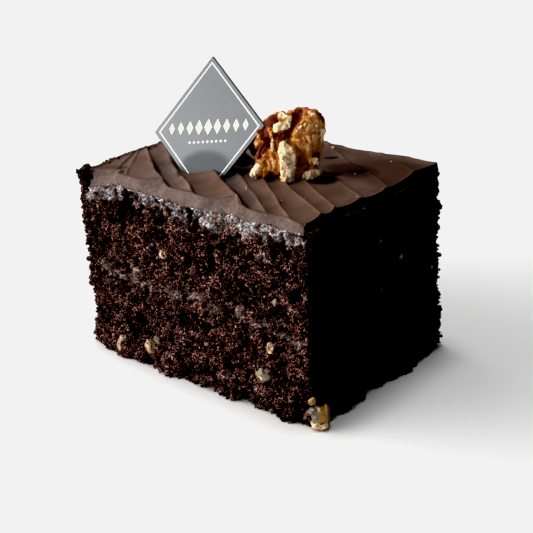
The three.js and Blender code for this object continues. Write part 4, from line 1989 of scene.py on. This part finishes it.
@dataclass(frozen=True)
class NutBits:
    """Pieces of nut baked into the crumb, and crumbs of nut on the frosting.

    Each speck is given by its place in x and y and its radius.
    """

    frosting: Frosting
    speck: Flesh = Flesh(0.0, 0.0, 0.75)
    specks: tuple[tuple[float, float, float], ...] = (
        (9.5, 25.6, 0.65),
        (25.5, -18.1, 0.4),
        (42.0, -4.6, 0.35),
        (33.3, 23.4, 0.35),
        (30.0, 10.0, 0.35),
        (11.6, -17.2, 0.5),
        (12.4, -18.0, 0.35),
        (6.3, -7.6, 0.35),
        (30.0, -13.0, 0.2),
    )

    def build(self, plan: SlicePlan) -> Object:
        """Models every bit in one piece and dresses it.

        Args:
            plan: Places and dresses it.

        Returns:
            The piece's object.
        """
        bm = bmesh.new()
        layers = FleshLayers(bm)
        for bit in NUT_BITS:
            self._stone(bm, self._bit_place(bit), layers, bit.flesh)
        for x, y, radius in self.specks:
            flat = Vector((x, y, 0))
            flat.z = self.frosting.top(flat)[0] + 0.4 * radius
            turned = Matrix.Rotation(x, 4, "Z") @ Matrix.Diagonal((radius, 0.7 * radius, 0.7 * radius, 1))
            self._stone(bm, Matrix.Translation(flat) @ turned, layers, self.speck)
        return plan.finish(bm, "nut_bits", [], [plan.finishes.nut], False)

    @staticmethod
    def _bit_place(bit: NutBit) -> Matrix:
        """Finds where a bit sits in its face, and how large it is.

        Args:
            bit: The bit.

        Returns:
            The move and the stretch.
        """
        if bit.face is CutFace.RIGHT:
            flat = Vector((HALF_LENGTH + 0.6, bit.x, bit.z))
            facing = Matrix.Rotation(math.radians(90), 4, "Z")
        else:
            out = 0.1 + bit.stand + FOOT_FLARE * foot_share(bit.z)
            flat = Vector((bit.x, -HALF_DEPTH - out, bit.z))
            facing = Matrix.Identity(4)
        turned = Matrix.Rotation(math.radians(bit.turn), 4, "Y")
        grown = Matrix.Diagonal((bit.width / 2, min(bit.width, bit.height) * 0.36, bit.height / 2, 1))
        return Matrix.Translation(flat) @ facing @ turned @ grown

    @staticmethod
    def _stone(bm: BMesh, place: Matrix, layers: FleshLayers, flesh: Flesh) -> None:
        """Adds one angular piece.

        Args:
            bm: The mesh to add it to.
            place: Where it goes and how large it is.
            layers: The mesh's numbers.
            flesh: What it is like.
        """
        made = bmesh.ops.create_icosphere(bm, subdivisions=3, radius=1)["verts"]
        shift = Vector((random.uniform(-9, 9), random.uniform(-9, 9), random.uniform(-9, 9)))
        spin = Euler([random.uniform(0, math.tau) for _ in range(3)]).to_matrix()
        for vert in made:
            facet = max(vert.co.dot(spin @ axis) for axis in FACETS)
            uneven = 1 + 0.36 * noise.noise(vert.co * 1.2 + shift) + 0.14 * noise.noise(vert.co * 3.4 + shift)
            vert.co *= uneven * 0.88 / facet
            layers.give(vert, flesh, 0.9 * noise.noise(vert.co * 1.5 - shift))
        bmesh.ops.transform(bm, matrix=place, verts=made)


FACETS = tuple(
    Vector(axis).normalized()
    for axis in (
        (1, 0.2, 0.1),
        (-1, 0.1, -0.2),
        (0.1, 1, 0.2),
        (-0.1, -1, 0.3),
        (0.2, -0.2, 1),
        (0.3, 0.1, -1),
        (0.8, -0.7, 0.6),
        (-0.7, -0.8, 0.5),
        (0.6, -0.7, -0.7),
        (-0.7, -0.6, -0.6),
        (0.7, 0.8, 0.6),
        (-0.8, 0.6, 0.7),
        (0.6, 0.7, -0.8),
        (-0.6, 0.8, -0.6),
    )
)


@dataclass(frozen=True)
class NutChunk:
    """The piece of nut that lies against the foot of the front right corner.

    Its own space is (right, front, up) from its foot, and it faces the corner's outside. Each lump
    is given by its middle and its radii.
    """

    foot: Vector = vector(47.6, -30.8, 0.0)
    turn: float = 42.0
    lumps: tuple[tuple[tuple[float, float, float], tuple[float, float, float]], ...] = (
        ((0.4, 0.0, 3.8), (2.5, 2.1, 3.2)),
        ((-1.2, 0.3, 5.6), (2.0, 1.5, 1.2)),
        ((0.4, 0.6, 1.7), (2.7, 1.9, 1.9)),
        ((2.3, -0.4, 4.2), (0.9, 1.7, 3.2)),
        ((-1.7, 0.1, 8.5), (1.1, 0.8, 1.1)),
        ((-1.3, 0.1, 8.9), (0.7, 0.7, 1.2)),
    )
    voxel: float = 0.24

    def _flesh(self, point: Vector) -> Flesh:
        """What the nut is like at a point: grey above left, yellow at the right, pale below.

        Args:
            point: The point, in the chunk's own millimetres.

        Returns:
            The flesh there.
        """
        skin = max(ramp(point.x, 2.2, 2.7), 0.8 * ramp(point.z, 0.7, 0.2))
        skin = max(skin, 0.6 * ramp(noise.noise(point / 1.1 + Vector((2, 6, 4))), 0.2, 0.5))
        pale = ramp(point.z, 3.6, 1.6) * ramp(point.z, 0.3, 0.9)
        yellow = ramp(point.x, -1.6, 2.0) * (1 - 0.6 * pale)
        return Flesh(0.9 * ramp(point.x, 1.4, -1.6), skin, pale, max(yellow, 0.5 * ramp(point.z, 7, 8)))

    def build(self, plan: SlicePlan) -> Object:
        """Models the chunk and dresses it.

        Args:
            plan: Places and dresses it.

        Returns:
            The piece's object.
        """
        bm = bmesh.new()
        for middle, radii in self.lumps:
            made = bmesh.ops.create_icosphere(bm, subdivisions=4, radius=1)["verts"]
            for vert in made:
                vert.co *= 0.92 / max(vert.co.dot(axis) for axis in FACETS)
            place = Matrix.Translation(middle) @ Matrix.Diagonal((*radii, 1))
            bmesh.ops.transform(bm, matrix=place, verts=made)
        bm = remeshed(bm, self.voxel)
        layers = FleshLayers(bm)
        bm.normal_update()
        for vert in bm.verts:
            layers.give(vert, self._flesh(vert.co), 0.25 * noise.noise(vert.co / 1.1))
        for vert in bm.verts:
            near = noise.voronoi(vert.co / 1.5)[0]
            chipped = 0.25 - 0.5 * near[0] + 0.3 * noise.noise(vert.co / 0.7)
            vert.co += vert.normal * chipped * (0.4 + 0.8 * vert[layers.bare])
        spin = Matrix.Rotation(math.radians(self.turn), 4, "Z")
        mirror = Matrix.Diagonal((1, -1, 1, 1))
        bmesh.ops.transform(bm, matrix=Matrix.Translation(self.foot) @ spin @ mirror, verts=bm.verts)
        for vert in bm.verts:
            vert.co.z = max(0.0, vert.co.z)
        bmesh.ops.recalc_face_normals(bm, faces=bm.faces)
        return plan.finish(bm, "nut_chunk_flesh", ["nut_chunk"], [plan.finishes.nut], False)


@dataclass(frozen=True)
class Crumbs:
    """Loose and half loose crumbs of one kind, all in one piece.

    Attributes:
        radii: Least and greatest radius, in millimetres.
        fineness: Subdivisions of a crumb's ball.
        seat: Finds a place for one of them and its outward direction.
        sink: How much of its width a crumb is sunk.
        shades: Least and greatest lightness.
        batch: How many are made in one small mesh, which keeps the work quick.
    """

    name: str
    count: int
    radii: tuple[float, float]
    fineness: int
    seat: Callable[[], tuple[Vector, Vector]]
    sink: float = 0.3
    shades: tuple[float, float] = (0.2, 1.0)
    batch: int = 120

    def build(self, plan: SlicePlan) -> Object:
        """Models the crumbs and dresses them.

        Args:
            plan: Places and dresses them.

        Returns:
            The piece's object.
        """
        whole = bmesh.new()
        done = 0
        while done < self.count:
            part = bmesh.new()
            open_layer = carry(part, Attribute.OPEN)
            shade_layer = carry(part, Attribute.SHADE)
            for _ in range(min(self.batch, self.count - done)):
                self._crumb(part, open_layer, shade_layer)
                done += 1
            mesh = bpy.data.meshes.new("batch")
            part.to_mesh(mesh)
            part.free()
            whole.from_mesh(mesh)
            bpy.data.meshes.remove(mesh)
        return plan.finish(whole, self.name, [], [plan.finishes.crumb], False)

    def _crumb(self, bm: BMesh, open_layer: BMLayerItem, shade_layer: BMLayerItem) -> None:
        """Adds one crumb.

        Args:
            bm: The mesh to add it to.
            open_layer: Carries how light it is.
            shade_layer: Carries how much painted shade it has.
        """
        seat, outward = self.seat()
        radius = mixed(*self.radii, random.random() ** 2.2)
        stretch = [radius * random.uniform(0.7, 1.25) for _ in range(3)]
        spin = Euler([random.uniform(0, math.tau) for _ in range(3)]).to_matrix().to_4x4()
        middle = seat + outward * radius * (1 - 2 * self.sink)
        place = Matrix.Translation(middle) @ spin @ Matrix.Diagonal((*stretch, 1))
        made = bmesh.ops.create_icosphere(bm, subdivisions=self.fineness, radius=1)["verts"]
        shade = mixed(*self.shades, random.random() ** 1.5)
        for vert in made:
            vert.co *= random.uniform(0.72, 1.15)
            vert[open_layer] = limited(shade + random.uniform(-0.2, 0.2))
            # Painted shade on the +X side.
            vert[shade_layer] = shaded(outward)
        bmesh.ops.transform(bm, matrix=place, verts=made)
        sunk = min(0.0, min(vert.co.z for vert in made))
        bmesh.ops.translate(bm, vec=(0, 0, -sunk), verts=made)


@dataclass(frozen=True)
class CrumbSeats:
    """Places where crumbs sit. Each is given with the outward direction there.

    Attributes:
        heights: Lowest and highest place on the side, in millimetres.
        clump_middle: Middle of the clump at the top of the front left corner.
        clump_radii: Its radii.
        rim_clumps: Places along the -X edge of the frosting where crumbs gather.
    """

    side: CutSide
    heights: tuple[float, float] = (0.4, 55.5)
    clump_middle: Vector = vector(-43.5, -30.0, 56.6)
    clump_radii: Vector = vector(2.8, 2.4, 3.6)
    rim_clumps: tuple[float, ...] = (-22.0, -17.0, -14.0, -5.0, 3.0, 6.0, 17.0, 26.0)

    def anywhere(self) -> tuple[Vector, Vector]:
        """Finds a place on the block's sides, more often where the crumb is loose.

        Returns:
            The place and the outward direction.
        """
        while True:
            share, z = random.random(), random.uniform(*self.heights)
            flat, _ = self.side.base(share, z)
            if smear_at(flat) > 0.4:
                continue
            if wobble(flat, 5, 9.0) + 0.9 * random.random() < 0.25:
                continue
            point, outward, is_open, _ = self.side.at(share, z)
            if is_open > 0.55 * random.random():
                return point, outward

    def foot(self) -> tuple[Vector, Vector]:
        """Finds a place along the block's foot.

        Returns:
            The place and the outward direction.
        """
        share, z = random.random(), abs(random.gauss(0, 1.2)) + 0.3
        point, outward, _, _ = self.side.at(share, z)
        return point, outward

    def corners(self) -> tuple[Vector, Vector]:
        """Finds a place on one of the upright corners.

        Returns:
            The place and the outward direction.
        """
        share = random.choice(self.side.outline.corner_shares) + random.gauss(0, 0.004)
        point, outward, _, _ = self.side.at(share % 1.0, random.uniform(0.5, 55.0))
        return point, outward

    def rough(self) -> tuple[Vector, Vector]:
        """A place for a coarse crumb."""
        return random.choice((self.anywhere, self.foot, self.corners, self.corners))()

    def cluster(self) -> tuple[Vector, Vector]:
        """Finds a place in the clump at the top of the front left corner.

        Returns:
            The place and the outward direction.
        """
        spread = Vector([random.gauss(0, 1) for _ in range(3)]).normalized() * random.random() ** 0.4
        spread *= 1 + 0.35 * wobble(spread, 0.7, 4.0)
        return self.clump_middle + spread * self.clump_radii, spread.normalized()

    def rim(self) -> tuple[Vector, Vector]:
        """Finds a place in one of the loose clumps on and by the frosting's edge on the -X side.

        Returns:
            The place and the outward direction.
        """
        y = random.choice(self.rim_clumps) + random.gauss(0, 1.9)
        inwards = random.uniform(0.3, 1.0) + random.choice((0.0, 0.0, 0.8, 2.4)) * random.random()
        x = -HALF_LENGTH + inwards
        return Vector((x, y, Frosting.level(Vector((x, y, 0))) - 0.1)), Vector((0, 0, 1))


# ---------- stage


@dataclass(frozen=True)
class Glow:
    """A soft bright area of the room. Its strength fades from peak to 0 over spread degrees."""

    azimuth: float
    elevation: float
    spread: float
    peak: float


@dataclass
class Studio:
    """Floor, light and camera. Angles are in degrees and lengths in millimetres."""

    aim: Vector = vector(2.47, 0.0, 27.39)
    azimuth: float = 42.22
    elevation: float = 23.02
    roll: float = -2.53
    distance: float = 384.45
    near_limit: float = 10.0
    lens: float = 83.25
    floor_reach: float = 4000.0
    overhead_azimuth: float = -112.0
    overhead_elevation: float = 85.0
    overhead_strength: float = 2.0
    overhead_spread: float = 22.0
    glows: tuple[Glow, ...] = (Glow(-47.0, 0.0, 46.4, 14.9), Glow(-90.0, 18.0, 44.0, 2.6))
    room: float = 0.115
    black_level: float = 0.016
    white_level: float = 0.906
    gamma: float = 0.82

    @staticmethod
    def direction(azimuth: float, elevation: float) -> Vector:
        """Finds a direction from the slice.

        Args:
            azimuth: 0 at the front and 90 at the right, in degrees.
            elevation: 0 at the horizon and 90 overhead.

        Returns:
            The direction, 1 long.
        """
        turn, rise = math.radians(azimuth), math.radians(elevation)
        flat = math.cos(rise)
        return Vector((math.sin(turn) * flat, -math.cos(turn) * flat, math.sin(rise)))

    def build(self, plan: SlicePlan) -> None:
        """Makes the whole stage.

        Args:
            plan: Tells where the slice stands.
        """
        self._floor()
        self._overhead()
        self._room()
        self._camera(plan)
        self._grade()

    def _grade(self) -> None:
        """Deepens the blacks and holds the whites, as a high-key product picture does."""
        view = bpy.context.scene.view_settings
        view.view_transform = "Standard"
        view.gamma = self.gamma
        view.use_curve_mapping = True
        view.curve_mapping.extend = "HORIZONTAL"
        view.curve_mapping.black_level = (self.black_level,) * 3
        view.curve_mapping.curves[3].points[1].location = (1.0, self.white_level)
        view.curve_mapping.update()

    def _floor(self) -> None:
        """A plain pale floor."""
        bm = bmesh.new()
        bmesh.ops.create_grid(bm, x_segments=1, y_segments=1, size=self.floor_reach * MM)
        mesh = bpy.data.meshes.new("floor")
        bm.to_mesh(mesh)
        bm.free()
        mesh.materials.append(PALE_FLOOR.make())
        floor = bpy.data.objects.new("floor", mesh)
        bpy.context.scene.collection.objects.link(floor)

    def _overhead(self) -> None:
        """A soft light straight above the slice."""
        lamp = bpy.data.lights.new("overhead", "SUN")
        lamp.energy = self.overhead_strength
        lamp.angle = math.radians(self.overhead_spread)
        light = bpy.data.objects.new("overhead", lamp)
        towards = self.direction(self.overhead_azimuth, self.overhead_elevation)
        light.rotation_euler = towards.to_track_quat("Z", "Y").to_euler()
        bpy.context.scene.collection.objects.link(light)

    def _room(self) -> None:
        """A wide, low window at the front left and a weaker one behind it, in a dark room."""
        world = bpy.data.worlds.new("studio_white")
        world.use_nodes = True
        sheet = Sheet(world.node_tree)
        where = sheet.node("ShaderNodeTexCoord", {}, {}, "Generated")
        strength: Input = self.room
        for glow in self.glows:
            aimed = {0: where, 1: self.direction(glow.azimuth, glow.elevation)}
            facing = sheet.node("ShaderNodeVectorMath", {"operation": "DOT_PRODUCT"}, aimed, "Value")
            edge = math.cos(math.radians(glow.spread))
            strength = facing.between(edge, 1.0) * glow.peak + strength
        sky = sheet.node("ShaderNodeBackground", {}, {"Strength": strength})
        sheet.node("ShaderNodeOutputWorld", {}, {"Surface": sky})
        bpy.context.scene.world = world

    def _camera(self, plan: SlicePlan) -> None:
        """Makes the camera and has the scene look through it.

        Args:
            plan: Tells where the slice stands.
        """
        data = bpy.data.cameras.new("camera")
        data.lens = self.lens
        data.clip_start = self.near_limit * MM
        camera = bpy.data.objects.new("camera", data)
        back = self.direction(self.azimuth, self.elevation)
        camera.location = plan.centre + (self.aim + back * self.distance) * MM
        facing = back.to_track_quat("Z", "Y").to_matrix().to_4x4()
        camera.rotation_euler = (facing @ Matrix.Rotation(math.radians(self.roll), 4, "Z")).to_euler()
        bpy.context.scene.collection.objects.link(camera)
        bpy.context.scene.camera = camera


# ---------- the slice


def main() -> None:
    """Builds every sub-assembly in order."""
    logging.basicConfig(level=logging.INFO, format="%(name)s %(message)s")
    random.seed(SEED)
    noise.seed_set(SEED)
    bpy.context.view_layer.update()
    plan = SlicePlan.from_frame(Vector(PLAQUE_MIDDLE))
    side = CutSide()
    frosting = Frosting(side)
    seats = CrumbSeats(side)
    parts = (
        CrumbLayer("lower_crumb", "crumb_lower", "crumb", side, floor_level, filling_floor, 76),
        CrumbLayer("filling_smear", "filling", "filling", side, filling_floor, filling_top, 8),
        CrumbLayer("upper_crumb", "crumb_upper", "crumb", side, filling_top, frosting_floor, 94),
        frosting,
        Plaque(),
        Walnut(),
        NutBits(frosting),
        NutChunk(),
        Crumbs("fine_crumbs", 8500, (0.16, 0.5), 1, seats.anywhere, 0.35),
        Crumbs("coarse_crumbs", 700, (0.4, 1.05), 2, seats.rough, 0.5),
        Crumbs("corner_crumbs", 190, (0.35, 1.1), 2, seats.cluster, 0.5, (0.0, 0.35)),
        # Rim crumbs are near black, partly as painted shade along the frosting's shaded -X rim.
        Crumbs("rim_crumbs", 90, (0.15, 0.6), 2, seats.rim, 0.5, (0.0, 0.3)),
    )
    for part in parts:
        piece = part.build(plan)
        LOG.info("%s: %d faces", piece.name, len(piece.data.polygons))
    Studio().build(plan)


if __name__ == "__main__":
    main()
